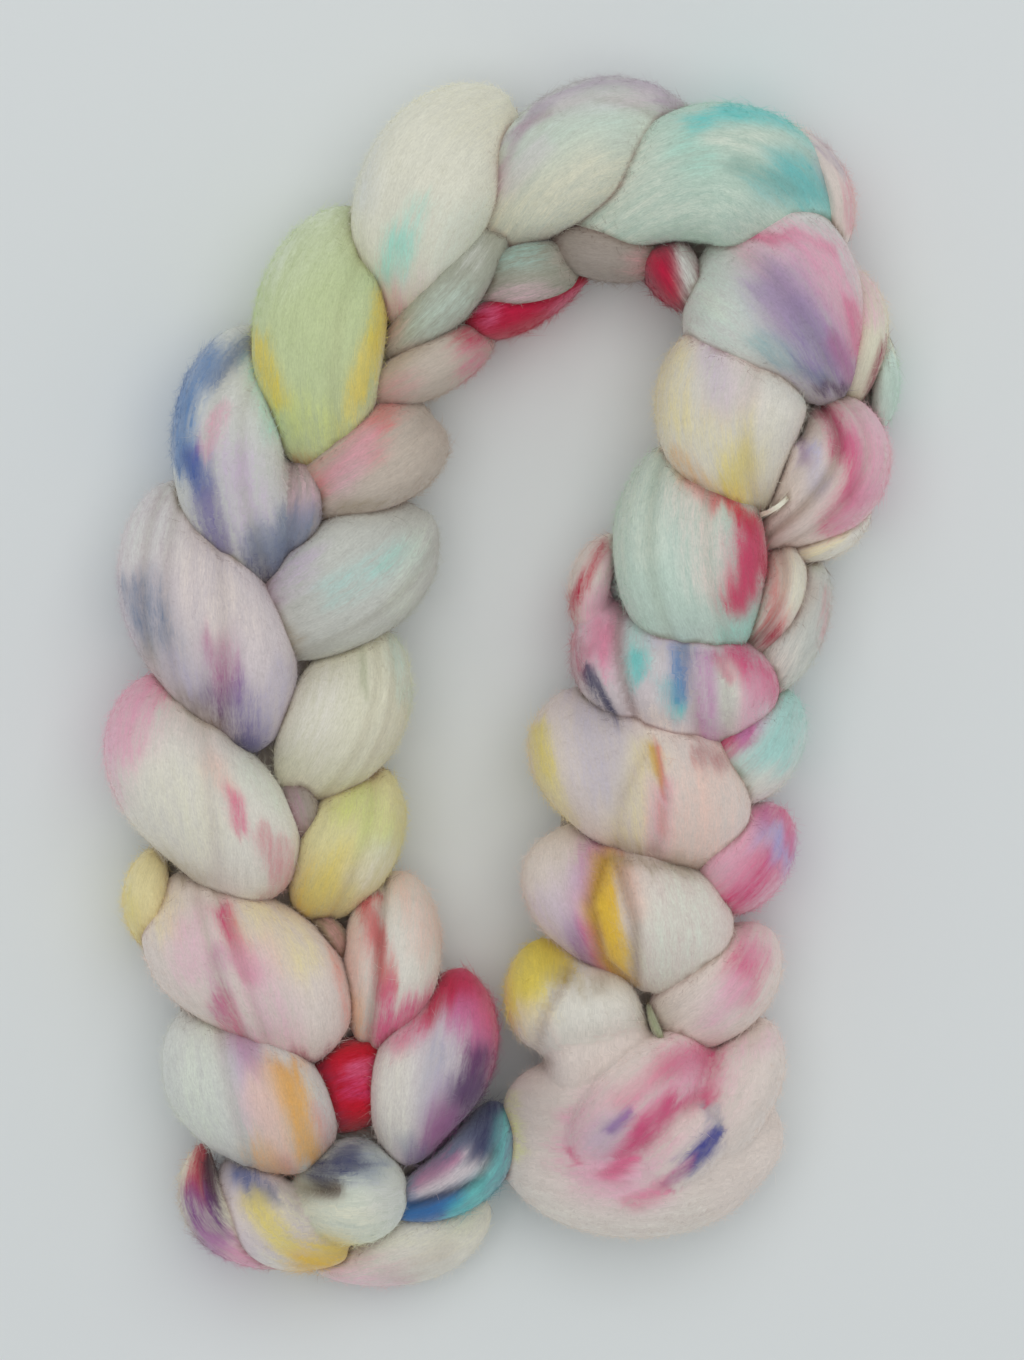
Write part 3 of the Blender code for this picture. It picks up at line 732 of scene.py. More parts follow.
        ("crimson", 74, 46, 76, 36, 5, 0.95),
        ("crimson", 74.5, 36.5, 70.5, 24.5, 5.5, 0.95),
        ("rose", 72.5, 41, 71, 24.5, 6.5, 0.4),
        ("mint", 68.5, 12.5, 78.5, 20, 5.5, 0.75),
        ("orange", 76, 13, 78.5, 21, 1.5, 0.6),
        ("pale_mint", 41, 24.5, 50, 15.5, 6.5, 0.4),
    ],
    "crimson_slip": [
        ("crimson", 30, 41, 21.5, 24, 2, 0.7),
        ("crimson", 21.5, 24, 20, 12.5, 2, 0.5),
        ("pale_pink", 32.5, 36.5, 29, 21.5, 3, 0.5),
    ],
    "multi_in": [
        ("pink", 31, 21, 28.5, 9, 7, 0.9),
        ("rose", 30.5, 15.5, 29, 11, 4, 0.4),
        ("ink", 25, 3, 32, -8.5, 2, 0.9),
        ("pale_aqua", 40.5, 18.5, 40, 5, 5, 0.7),
        ("turquoise", 40, 6, 41, -0.5, 3, 0.8),
        ("turquoise", 49.5, -2, 51.5, -8, 3.5, 0.6),
        ("pale_lilac", 46, 12.5, 50.5, 12.5, 4, 0.5),
        ("denim", 53.5, 9.5, 53, -3.5, 4, 0.75),
        ("orchid", 60.5, 6.5, 61.5, -18, 4, 0.55),
        ("sage_white", 67, 4, 68, -12, 4, 0.7),
        ("raspberry", 70.5, 9, 80, -2.5, 5.5, 0.8),
        ("pink", 76, -2.5, 73.5, -12, 5, 0.6),
        ("rose", 64, 6.5, 67, 0.5, 2, 0.5),
        ("wine", 23, 9.5, 20.5, 0.5, 3.5, 0.4),
        ("pink_white", 41, -11.5, 56, -18, 3.5, 0.5),
    ],
    "peach_in": [
        ("yellow", 11, -15, 13.5, -30, 4, 0.85),
        ("butter", 14, -31, 18.5, -41, 3.5, 0.8),
        ("lilac_grey", 26.5, -7, 31, -28, 11, 0.65),
        ("butter", 42.5, -23.5, 38.5, -44, 6.5, 0.5),
        ("gold", 44.5, -21, 45.5, -26, 1.5, 0.6),
        ("coral", 46, -18.5, 47.5, -30, 1, 0.75),
        ("pink", 47.5, -32.5, 46, -50.5, 4, 0.6),
        ("coral", 47, -35.5, 47.5, -44.5, 1.5, 0.35),
        ("pale_peach", 60.5, -29.5, 56, -50.5, 11, 0.6),
        # painted shade along its lower edge
        ("bark", 35, -49, 59, -55, 3, 0.4),
        ("ink", 28.5, -2.5, 34.5, -10, 3.5, 0.5),
        ("wine", 58, -21, 65, -24.5, 3, 0.4),
    ],
    "lilac_in": [
        ("orchid", 30.5, -47, 23.5, -61, 6, 0.85),
        ("pale_lilac", 19, -59.5, 16, -67, 6, 0.5),
        ("orchid", 21.5, -67, 26, -82, 5, 0.6),
        ("violet", 20, -74.5, 25.5, -84.5, 3.5, 0.6),
        ("rose", 27.5, -61, 26, -73, 3.5, 0.55),
        ("rose", 26, -73, 30.5, -87, 3, 0.6),
        ("gold", 31, -54, 29, -67, 5, 0.95),
        ("gold", 29.5, -67, 33.5, -82, 5, 0.95),
        ("gold", 33.5, -82, 37.5, -90.5, 3, 0.8),
        ("pale_peach", 37.5, -56, 40.5, -70, 3.5, 0.7),
        ("sage_white", 56, -59.5, 50, -83.5, 11, 0.5),
        ("pink_white", 11, -44.5, 16, -65.5, 8, 0.5),
        ("pale_lilac", 13, -65.5, 19, -74.5, 5, 0.4),
        # painted shade along its upper edge
        ("bark", 33.5, -53, 56, -56, 2, 0.5),
    ],
    "yellow_in": [
        ("yellow", 9.5, -80.5, 5, -97, 8.5, 0.9),
        ("sun", 11, -77, 17, -83, 6, 0.85),
        ("sun", 10, -79, 5.5, -94, 7, 0.8),
        ("sun", 13.5, -83, 15.5, -87, 4, 0.6),
        ("pink_white", 8, -101, 12.5, -107.5, 5.5, 0.5),
        # painted shade
        ("bark", 17, -88, 29, -89.5, 3.5, 0.3),
    ],
    "puff_neck": [
        ("pink_white", 29, -116.5, 38, -110.5, 11, 0.5),
    ],
    "puff": [
        ("cream", 17, -160, 53, -163, 10, 0.5),
        ("pink", 55.5, -116, 31, -140.5, 13.5, 0.62),
        ("pale_pink", 29, -146, 41, -149.5, 9, 0.5),
        # painted shade at the top of its left side
        ("stone", 8, -119.5, 12.5, -128.5, 9, 0.25),
        ("pink", 29, -124, 17, -140.5, 5, 0.45),
        ("pink", 25, -147, 34, -148, 5, 0.45),
        ("rose", 44, -117, 35.5, -123.5, 4, 0.5),
        ("raspberry", 49, -114, 61, -112, 5, 0.75),
        ("rose", 61, -119.5, 61.5, -123, 3, 0.6),
        ("raspberry", 60.5, -123.5, 49.5, -126.5, 3.5, 0.7),
        ("raspberry", 49.5, -126.5, 41, -134, 4, 0.75),
        ("raspberry", 41, -134, 32.5, -145, 4, 0.7),
        ("pink", 56, -115, 56, -119.5, 4, 0.4),
        ("pale_violet", 28, -137, 31, -133, 5, 0.5),
        ("purple", 31, -134, 36.5, -128.5, 2, 0.6),
        ("rose", 19, -140, 20, -143.5, 1.5, 0.6),
        ("navy", 55.5, -143, 62.5, -136, 3.5, 0.92),
        ("mauve", 47.5, -149.5, 54.5, -144.5, 2, 0.7),
        ("rose", 38.5, -155, 46.5, -151, 3, 0.5),
        ("pink_white", 53.5, -131.5, 59, -129, 4, 0.6),
        ("slate", 61, -126.5, 64, -133, 2, 0.4),
        ("lemon", 2, -125.5, 3.5, -140.5, 3, 0.45),
    ],
    "puff_rim": [
        ("pale_pink", 71, -109, 80, -107.5, 4, 0.35),
    ],
}

# Partings pressed into a fold along its fibres, at a share of the way from its middle to its left edge.
Parting = namedtuple("Parting", "fold across reach depth")
PARTINGS = [Parting(*row) for row in [
    ("slate", -0.72, 1.6, 1.2),
    ("slate", -0.45, 1.8, 0.9),
    ("slate", 0.2, 2.2, 0.7),
    ("cream_left", -0.3, 1.6, 0.9),
    ("cream_left", -0.05, 1.8, 0.8),
    ("in_mint", 0.72, 1.6, 1),
    ("in_cream", 0.45, 1.6, 0.8),
    ("in_cream", 0.72, 1.4, 0.9),
    ("in_yellow", 0.3, 1.6, 0.7),
    ("in_peach", -0.25, 1.6, 2.4),
    ("rose_right", -0.07, 1.8, 2.4),
    ("rose_right", 0.5, 1.6, 1),
    ("cream_right", -0.1, 1.4, 1),
    ("crimson_in", -0.55, 2, 1.2),
    ("crimson_in", 0.2, 2.2, 0.8),
    ("multi_in", -0.55, 2, 3),
    ("multi_in", 0.12, 2.2, 1.1),
    ("multi_in", 0.45, 2, 0.8),
    ("berry_right", 0.1, 2.6, 0.7),
    ("gold_in", 0.2, 2.6, 0.6),
    ("rose_left", 0.1, 2.6, 0.7),
    ("peach_left", -0.2, 2, 0.8),
    ("green", 0.3, 2.4, 0.6),
    ("blue", 0.25, 2, 0.8),
    ("blue", -0.3, 2, 0.6),
]]

# Creases pressed into a fold along a line, seen from above.
Crease = namedtuple("Crease", "fold start_x start_y end_x end_y reach depth")
CREASES = [Crease(*row) for row in [
    ("peach_in", 44.5, -19, 48.5, -35.5, 1.5, 1.4),
    ("peach_in", 48.5, -35.5, 45.5, -50.5, 1.8, 0.8),
    ("peach_in", 42.5, -20.5, 35, -35.5, 1.8, 1),
    ("peach_in", 35, -35.5, 33.5, -50.5, 1.8, 0.7),
    ("lilac_in", 30.5, -52, 25.5, -65.5, 1.8, 2.6),
    ("lilac_in", 25.5, -65.5, 29, -83.5, 1.8, 2.6),
    ("lilac_in", 29, -83.5, 38, -91, 1.8, 2.6),
    ("lilac_in", 35, -54, 39, -71.5, 1.8, 2.6),
    ("lilac_in", 39, -71.5, 39.5, -91, 1.8, 2.6),
    ("yellow_in", 20.5, -85, 12.5, -98.5, 1.8, 2),
    ("yellow_in", 12.5, -98.5, 9.5, -110.5, 1.8, 2),
    ("puff", 5, -106, 12.5, -113.5, 2.4, 4),
    ("puff_neck", 8, -109, 12.5, -114, 2, 4),
    ("blue_foot", -28, -157, -7, -149.5, 1.4, 2.2),
    ("blue_foot", -7, -149.5, -1, -139, 1.4, 2.2),
    ("lilac_top", 49.5, 165, 41, 172, 1.6, 0.8),
    ("lilac_top", 41, 172, 26, 175, 1.6, 0.8),
    ("lilac_top", 26, 175, 8, 168, 1.6, 0.8),
    ("knot", -61, -151, -51.5, -151, 2.6, 5),
]]

# Folds that run into each other with no crease between them.
JOINED = [
    ("cream_top", "cream_slip"),
    ("aqua_top", "pink_rim"),
    ("berry_right", "pale_rim"),
]

# Folds that are melted together, since the wool runs through them without a break.
MELTED = [
    ("puff", "puff_neck", "puff_roll", "puff_rim", "puff_petal", "yellow_in"),
    ("blue", "blue_side"),
    ("knot", "foot_lobe"),
    ("multi_in", "crimson_slip"),
]

# The heart's sections, one row each.
Heart = namedtuple("Heart", "x y width")
HEART = [Heart(*row) for row in [
    (-48.5, -155.5, 60), (-50.5, -119.5, 76), (-65.5, -83.5, 70), (-74.5, -47.5, 56),
    (-72.5, -5.5, 58), (-66.5, 30.5, 54), (-56.5, 66.5, 42), (-42.5, 105.5, 36), (-18.5, 139.5, 36),
    (20.5, 150.5, 38), (56.5, 147.5, 44), (83.5, 115.5, 50), (86.5, 81.5, 52), (65.5, 36.5, 50),
    (56.5, 0.5, 52), (45.5, -29.5, 54), (42.5, -65.5, 54), (41.5, -95.5, 50), (41.5, -128.5, 64),
]]


def clear_selection():
    """Leave nothing selected, so that the next operator acts on its own piece alone."""
    bpy.ops.object.select_all(action="DESELECT")


def dye_tone(name):
    """The dye of that name as the shader needs it: screen values made linear, by the usual rule."""
    tone = np.array(COLOURS[name]) / 255.0
    return np.where(tone <= 0.04045, tone / 12.92, ((tone + 0.055) / 1.055) ** 2.4) * WOOL_GAIN


def read_vectors(items, name):
    """A vector of each mesh item as an array."""
    values = np.empty(len(items) * 3)
    items.foreach_get(name, values)
    return values.reshape(-1, 3)


def settle_faces(mesh):
    """Put a new primitive's faces in a fixed order, so that every run makes the same wool."""
    places = read_vectors(mesh.vertices, "co").tolist()
    faces = []
    for face in mesh.polygons:
        corners = tuple(face.vertices)
        first = corners.index(min(corners))
        faces.append(corners[first:] + corners[:first])
    mesh.clear_geometry()
    mesh.from_pydata(places, [], sorted(faces))


# ---- Noise that is the same each run ----

def cell_value(cell, seed):
    """A fixed number from 0 to 1 for each whole-number cell: its digits mixed by large primes."""
    word = 0xFFFFFFFF
    mixed = (cell[..., 0] * 73856093) ^ (cell[..., 1] * 19349663) ^ (cell[..., 2] * 83492791)
    mixed = (mixed ^ (seed * 40503 + 977)) & word
    mixed = ((mixed ^ (mixed >> 13)) * 1274126177) & word
    mixed = ((mixed ^ (mixed >> 16)) * 668265263) & word
    return (mixed ^ (mixed >> 15)) / word


def soft_noise(places, seed):
    """Smooth noise from -1 to 1 at the places, whose cells are one unit across."""
    low = np.floor(places).astype(np.int64)
    part = places - low
    part = part * part * (3 - 2 * part)
    total = np.zeros(len(places))
    for corner in range(8):
        step = np.array([corner & 1, (corner >> 1) & 1, corner >> 2])
        weight = np.prod(np.where(step == 1, part, 1 - part), axis=1)
        total += weight * cell_value(low + step, seed)
    return total * 2 - 1


def drawn_out(lanes, streak, seed):
    """Noise drawn out along the fibres, for a row with a width and a length."""
    return soft_noise(lanes / np.array([streak.width, streak.length, streak.length]), seed)


def vary(places, kind):
    """A share that varies from place to place, up to 1."""
    noise = soft_noise(places / kind.patch, kind.seed)
    return np.clip(kind.middle + kind.swing * noise, kind.least, 1)


# ---- The folds ----

def through(start, belly, end, t):
    """The value at t of the parabola that is start at 0, belly at a half and end at 1."""
    handle = 2 * belly - (start + end) / 2
    return (1 - t) ** 2 * start + 2 * t * (1 - t) * handle + t ** 2 * end


def slope(start, belly, end, t):
    """How fast that parabola changes at t."""
    handle = 2 * belly - (start + end) / 2
    return 2 * (1 - t) * (handle - start) + 2 * t * (end - handle)


def fold_length(fold):
    """The length of a fold's middle line."""
    t = np.linspace(0, 1, LENGTH_SAMPLES)
    x = through(fold.start_x, fold.belly_x, fold.end_x, t)
    y = through(fold.start_y, fold.belly_y, fold.end_y, t)
    return float(np.sum(np.hypot(np.diff(x), np.diff(y))))


def soft_turn(angle, softness):
    """Points of the unit superellipse that stand in the way of the angles."""
    cosine = np.cos(angle)
    sine = np.sin(angle)
    size = (np.abs(cosine) ** softness + np.abs(sine) ** softness) ** (1 / softness)
    return cosine / size, sine / size


def fold_surface(fold, across_turn, loop_turn):
    """The places on a fold's skin, in millimetres, and how far across it each one lies.

    The across turn goes from the left edge, at 0, to the right one, at pi. The loop turn goes round
    the fold the way its fibres do: 0 is its end, a quarter turn its top and a half turn its start.
    """
    across, ring = soft_turn(across_turn, PLAN_SOFTNESS)
    along, up = soft_turn(loop_turn, LOOP_SOFTNESS)
    t = (1 + along * ring) / 2
    x = through(fold.start_x, fold.belly_x, fold.end_x, t)
    y = through(fold.start_y, fold.belly_y, fold.end_y, t)
    way_x = slope(fold.start_x, fold.belly_x, fold.end_x, t)
    way_y = slope(fold.start_y, fold.belly_y, fold.end_y, t)
    size = np.hypot(way_x, way_y)
    way_x, way_y = way_x / size, way_y / size
    aside = through(fold.start_width, fold.belly_width, fold.end_width, t) / 2 * across
    ahead = fold.skew * across
    top = through(fold.start_top, fold.belly_top, fold.end_top, t)
    bottom = through(END_RISE, -BASE_DIP, END_RISE, t)
    lift = fold.roll * across * (1 + up * ring) / 2 * ring
    places = np.stack(
        [
            x + way_x * ahead - way_y * aside,
            y + way_y * ahead + way_x * aside,
            (top + bottom) / 2 + (top - bottom) / 2 * up * ring + lift,
        ],
        axis=1,
    )
    return places, across


def line_distance(places, row):
    """How far each place is, seen from above, from the line between a row's start and its end."""
    start = np.array([row.start_x, row.start_y])
    run = np.array([row.end_x, row.end_y]) - start
    share = ((places[:, :2] - start) @ run) / max(float(run @ run), TINY)
    nearest = start + np.clip(share, 0, 1)[:, None] * run
    return np.hypot(*(places[:, :2] - nearest).T)


def crowd(turn):
    """Even turns round a loop, drawn together on its upper part: a quarter turn is the top."""
    off_top = (turn + math.pi / 2) % (2 * math.pi) - math.pi
    reach = math.pi / 2 + TOP_OVERHANG
    edge = math.pi * TOP_SHARE
    inner = np.abs(off_top) * reach / edge
    outer = reach + (np.abs(off_top) - edge) * (math.pi - reach) / (math.pi - edge)
    return math.pi / 2 + np.sign(off_top) * np.where(np.abs(off_top) < edge, inner, outer)


def pressed_depth(fold, places, across, outward):
    """How deep its partings and creases are pressed into a fold at its places."""
    pressed = np.zeros(len(places))
    for parting in PARTINGS:
        if parting.fold == fold.name:
            distance = (across - parting.across) * fold.belly_width / 2
            share = np.exp(-((distance / parting.reach) ** 2))
            pressed = np.maximum(pressed, parting.depth * share)
    for crease in CREASES:
        if crease.fold == fold.name:
            share = np.exp(-((line_distance(places, crease) / crease.reach) ** 2))
            pressed = np.maximum(pressed, crease.depth * share)
    return pressed * np.clip(outward[:, 2] + PRESS_DOWN_TO, 0, 1)


def lay_fold(fold, number):
    """One fold: a sphere drawn out so that its meridians are the fibres' loops, with their ridges."""
    length = fold_length(fold)
    rings = max(LEAST_RINGS, int(fold.belly_width * RINGS_PER_WIDTH))
    sides = max(LEAST_SIDES, int(length * SIDES_PER_LENGTH))
    clear_selection()
    bpy.ops.mesh.primitive_uv_sphere_add(segments=sides, ring_count=rings, radius=1.0)
    piece = bpy.context.active_object
    piece.name = fold.name
    mesh = piece.data
    mesh.name = fold.name
    settle_faces(mesh)
    ball = read_vectors(mesh.vertices, "co")
    across_turn = np.arccos(np.clip(-ball[:, 2], -1, 1))
    loop_turn = crowd(np.arctan2(ball[:, 1], ball[:, 0]))
    places, across = fold_surface(fold, across_turn, loop_turn)
    ahead, _ = fold_surface(fold, across_turn, loop_turn + LOOP_STEP)
    behind, _ = fold_surface(fold, across_turn, loop_turn - LOOP_STEP)
    fibre = ahead - behind
    fibre = fibre / np.maximum(np.linalg.norm(fibre, axis=1), TINY)[:, None]
    radius = (fold.belly_width + fold.belly_top) / 4
    lanes = np.stack(
        [
            radius * (math.pi / 2 - across_turn),
            length / 2 * np.cos(loop_turn),
            length / 2 * np.sin(loop_turn),
        ],
        axis=1,
    )
    lanes = lanes + number * LANE_STEP
    mesh.vertices.foreach_set("co", places.ravel())
    mesh.update()
    outward = read_vectors(mesh.vertices, "normal")
    rise = np.zeros(len(places))
    for seed, ridge in enumerate(RIDGES):
        rise += ridge.height * drawn_out(lanes, ridge, seed)
    pressed = pressed_depth(fold, places, across, outward)
    rise = (rise - pressed) * np.sin(across_turn)
    places = places + outward * rise[:, None]
    places[:, 2] = np.maximum(places[:, 2], 0)
    mesh.vertices.foreach_set("co", (places * MM).ravel())
    mesh.update()
    mesh.shade_smooth()
    return {
        "names": [fold.name],
        "piece": piece,
        "places": places,
        "fibre": fibre,
        "lanes": lanes,
        "pressed": pressed,
        "ground": np.tile(dye_tone(fold.ground), (len(places), 1)),
    }


def melt_folds(parts):
    """Several folds as one skin, whose seams a voxel remesh closes and a smoothing softens.

    Each new vertex takes its fibre, its lane and its ground from the old one that is nearest.
    """
    clear_selection()
    for part in parts:
        part["piece"].select_set(True)
    bpy.context.view_layer.objects.active = parts[0]["piece"]
    bpy.ops.object.join()
    piece = bpy.context.active_object
    remesh = piece.modifiers.new("melt", "REMESH")
    remesh.mode = "VOXEL"
    remesh.voxel_size = MELT_VOXEL * MM
    bpy.ops.object.modifier_apply(modifier="melt")
    sharp = read_vectors(piece.data.vertices, "co") / MM
    smooth = piece.modifiers.new("soften", "SMOOTH")
    smooth.factor = MELT_FACTOR
    smooth.iterations = MELT_ROUNDS
    bpy.ops.object.modifier_apply(modifier="soften")
    mesh = piece.data
    mesh.name = piece.name
    mesh.shade_smooth()
    places = read_vectors(mesh.vertices, "co") / MM
    places[:, 2] = np.maximum(places[:, 2], 0)
    mesh.vertices.foreach_set("co", (places * MM).ravel())
    mesh.update()
    old = {key: np.concatenate([part[key] for part in parts]) for key in MELTED_VALUES}
    known = KDTree(len(old["places"]))
    for index, place in enumerate(old["places"].tolist()):
        known.insert(place, index)
    known.balance()
    nearest = np.array([known.find(place)[1] for place in places.tolist()])
    melted = {key: values[nearest] for key, values in old.items()}
    # Painted shade: a seam that the smoothing filled is darkened as a crease would be.
    filled = np.sum((places - sharp) * read_vectors(mesh.vertices, "normal"), axis=1)
    melted["pressed"] += SEAM_PRESS * np.clip(filled - SEAM_LEAST, 0, SEAM_MOST)
    melted["places"] = places
    melted["piece"] = piece
    melted["names"] = [name for part in parts for name in part["names"]]
    return melted


def lay_folds():
    """Every fold, with those melted together that the wool runs through without a break."""
    laid = {row.name: lay_fold(row, number) for number, row in enumerate(FOLDS)}
    for names in MELTED:
        laid[names[0]] = melt_folds([laid.pop(name) for name in names])
    for fold in laid.values():
        faces = [tuple(face.vertices) for face in fold["piece"].data.polygons]
        fold["skin"] = BVHTree.FromPolygons(fold["places"].tolist(), faces)
    return list(laid.values())


# ---- Colour ----

def fold_dyes(fold):
    """The dye tone and its amount at each vertex of a fold."""
    places = fold["places"]
    creep = np.zeros(len(places))
    for seed, ragged in enumerate(RAGGED, CREEP_SEED):
        creep += ragged.creep * drawn_out(fold["lanes"], ragged, seed)
    shifted = places + fold["fibre"] * creep[:, None]
    laid = np.zeros((len(places), 3))
    amount = np.zeros(len(places))
    for row in [row for name in fold["names"] for row in DYES.get(name, [])]:
        dye = Dye(*row)
        cover = dye.depth * np.exp(-((line_distance(shifted, dye) / dye.reach) ** DYE_EDGE))
        laid = laid * (1 - cover[:, None]) + dye_tone(dye.colour) * cover[:, None]
        amount = amount * (1 - cover) + cover
    return laid / np.maximum(amount, LEAST_DYE)[:, None], amount


def joined(fold, other):
    """Whether the wool runs on from one of them to the other, so that no crease lies between."""
    return any((a, b) in JOINED or (b, a) in JOINED for a in fold["names"] for b in other["names"])


def crease_gap(fold, folds):
    """How far each vertex of a fold is from the nearest two other folds, up to the sight."""
    places = fold["places"]
    nearest = np.full(len(places), CREASE_SIGHT)
    second = np.full(len(places), CREASE_SIGHT)
    for other in folds:
        if other is fold or joined(fold, other):
            continue
        low = other["places"].min(axis=0) - CREASE_SIGHT
        high = other["places"].max(axis=0) + CREASE_SIGHT
        inside = np.all((places > low) & (places < high), axis=1) & (places[:, 2] > ROOT_LOW)
        for index in np.flatnonzero(inside):
            _, _, _, distance = other["skin"].find_nearest(places[index], second[index])
            if distance is not None:
                second[index] = max(nearest[index], distance)
                nearest[index] = min(nearest[index], distance)
    return nearest, second


def store_colours(mesh, ground, tone, amount, lay):
    """Keep the tones and the lay on the mesh, for its material to read."""
    count = len(mesh.vertices)
    stored = mesh.attributes.new("ground", "FLOAT_COLOR", "POINT")
    stored.data.foreach_set("color", np.column_stack([ground, np.ones(count)]).ravel())
    stored = mesh.attributes.new("dye", "FLOAT_COLOR", "POINT")
    stored.data.foreach_set("color", np.column_stack([tone, amount]).ravel())
    stored = mesh.attributes.new("lay", "FLOAT_VECTOR", "POINT")
    stored.data.foreach_set("vector", np.asarray(lay).ravel())


def dye_fold(fold, gap, second):
    """Its colours: ground and dyes, with painted shade in its own creases and where it meets another
    fold, and painted light beside those creases and where its skin turns down.
    """
    places = fold["places"]
    mesh = fold["piece"].data
    # Painted shade: a dark line in the crease, a wider band beside it, more where three folds meet, and
    # more in pressed creases.
    line = CREASE_SHADE_LINE.depth * vary(places, LINE_UNEVEN) * np.exp(-((gap / CREASE_SHADE_LINE.reach) ** 2))
    corner = CORNER_SHADE.depth * np.exp(-second / CORNER_SHADE.reach)
    shade_band = CREASE_SHADE_BAND.depth * vary(places, SHADE_BAND_UNEVEN) + corner
    shade_band = shade_band * np.exp(-gap / CREASE_SHADE_BAND.reach) * (gap < CREASE_SIGHT)
    share = 1 - (1 - line) * (1 - shade_band) * np.exp(-PRESSED_SHADE * fold["pressed"])
    # Painted light: paler beside a crease and where the skin turns down.
    upright = np.clip(read_vectors(mesh.vertices, "normal")[:, 2], 0, 1)
    glow = 1 + GLOW * np.exp(-((gap / GLOW_REACH) ** 2))
    glow = glow * (1 + EDGE_GLOW * (1 - upright) ** 2)
    # The painted shade takes a brownish tint that varies from place to place.
    browner = vary(places, TINT_UNEVEN)[:, None]
    brown_shade, olive = [dye_tone(name) for name in CREASE_SHADE_TINTS]
    crease = browner * brown_shade + (1 - browner) * olive
    tint = glow[:, None] * (1 - share[:, None] * (1 - crease))
    tone, amount = fold_dyes(fold)
    fold["ground"] = fold["ground"] * tint
    fold["tone"] = tone * tint
    fold["amount"] = amount
    fold["gap_share"] = np.exp(-((gap / FUZZ_REACH) ** 2))
    store_colours(mesh, fold["ground"], fold["tone"], amount, fold["lanes"])


def finish_piece(piece, material):
    """Its finish, and its place under the body, with the part that it replaces hidden."""
    piece.data.materials.clear()
    piece.data.materials.append(material)
    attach(piece, BODY)
    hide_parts(NODE)


# ---- The heart ----

def lay_heart(material):
    """The filling of the chain, a sphere drawn out along it and pressed flat."""
    count = len(HEART)
    clear_selection()
    bpy.ops.mesh.primitive_uv_sphere_add(
        segments=HEART_SIDES, ring_count=count * HEART_RINGS, radius=1.0
    )
    piece = bpy.context.active_object
    piece.name = "heart"
    mesh = piece.data
    mesh.name = "heart"
    settle_faces(mesh)
    ball = read_vectors(mesh.vertices, "co")
    t = np.clip((ball[:, 2] + 1) / 2, 0, 1)
    angle = np.arctan2(ball[:, 1], ball[:, 0])
    rows = np.array(HEART, dtype=float)
    knots = np.linspace(0, 1, count)
    x, y, width = (np.interp(t, knots, rows[:, column]) for column in range(3))
    x_on, y_on = (np.interp(t + HEART_STEP, knots, rows[:, column]) for column in range(2))
    x_off, y_off = (np.interp(t - HEART_STEP, knots, rows[:, column]) for column in range(2))
    way = np.hypot(x_on - x_off, y_on - y_off)
    way_x, way_y = (x_on - x_off) / way, (y_on - y_off) / way
    round_off = np.sqrt(np.clip(1 - (2 * t - 1) ** HEART_END_POWER, 0, 1))
    half = width / 2 * round_off * np.cos(angle)
    middle = (HEART_HIGH + HEART_LOW) / 2
    height = middle + (HEART_HIGH - HEART_LOW) / 2 * round_off * np.sin(angle)
    places = np.stack([x - way_y * half, y + way_x * half, height], axis=1)
    mesh.vertices.foreach_set("co", (places * MM).ravel())
    # Painted shade, in the heart's dark tone.
    ground = np.tile(dye_tone(HEART_COLOUR), (len(places), 1))
    store_colours(mesh, ground, ground, np.zeros(len(places)), places)
    mesh.update()
    mesh.shade_smooth()
    finish_piece(piece, material)


# ---- Fuzz ----

def hair_template():
    """One hair from 0 to 1 along +Z, three-sided, pointed at both ends, with a flat side on top."""
    clear_selection()
    bpy.ops.mesh.primitive_cone_add(
        vertices=3, radius1=1.0, depth=1 - HAIR_WAIST, end_fill_type="TRIFAN"
    )
    cone = bpy.context.active_object
    settle_faces(cone.data)
    places = read_vectors(cone.data.vertices, "co")
    on_axis = np.hypot(places[:, 0], places[:, 1]) < TINY
    root = on_axis & (places[:, 2] < 0)
    places[:, 2] += (1 + HAIR_WAIST) / 2
    places[root, 2] = 0
    faces = np.array([tuple(face.vertices) for face in cone.data.polygons])
    bpy.data.objects.remove(cone, do_unlink=True)
    return places, faces


def leaves_skins(tree, root, way):
    """Whether a root lies inside another fold: its way out then leaves more skins than it enters."""
    start = root + way * SKIN_CLEARANCE
    leaving = 0
    for _ in range(SKINS_AT_MOST):
        hit, normal, _, _ = tree.ray_cast(start, way, FARTHEST_SKIN)
        if hit is None:
            break
        leaving += 1 if normal.dot(way) > 0 else -1
        start = hit + way * SKIN_STEP
    return leaving > 0


def skin_tree(laid):
    """All the folds' skins together, to ask what covers a place."""
    places = []
    faces = []
    for fold in laid:
        first = len(places)
        places.extend(fold["places"].tolist())
        for face in fold["piece"].data.polygons:
            faces.append([first + corner for corner in face.vertices])
    return BVHTree.FromPolygons(places, faces)


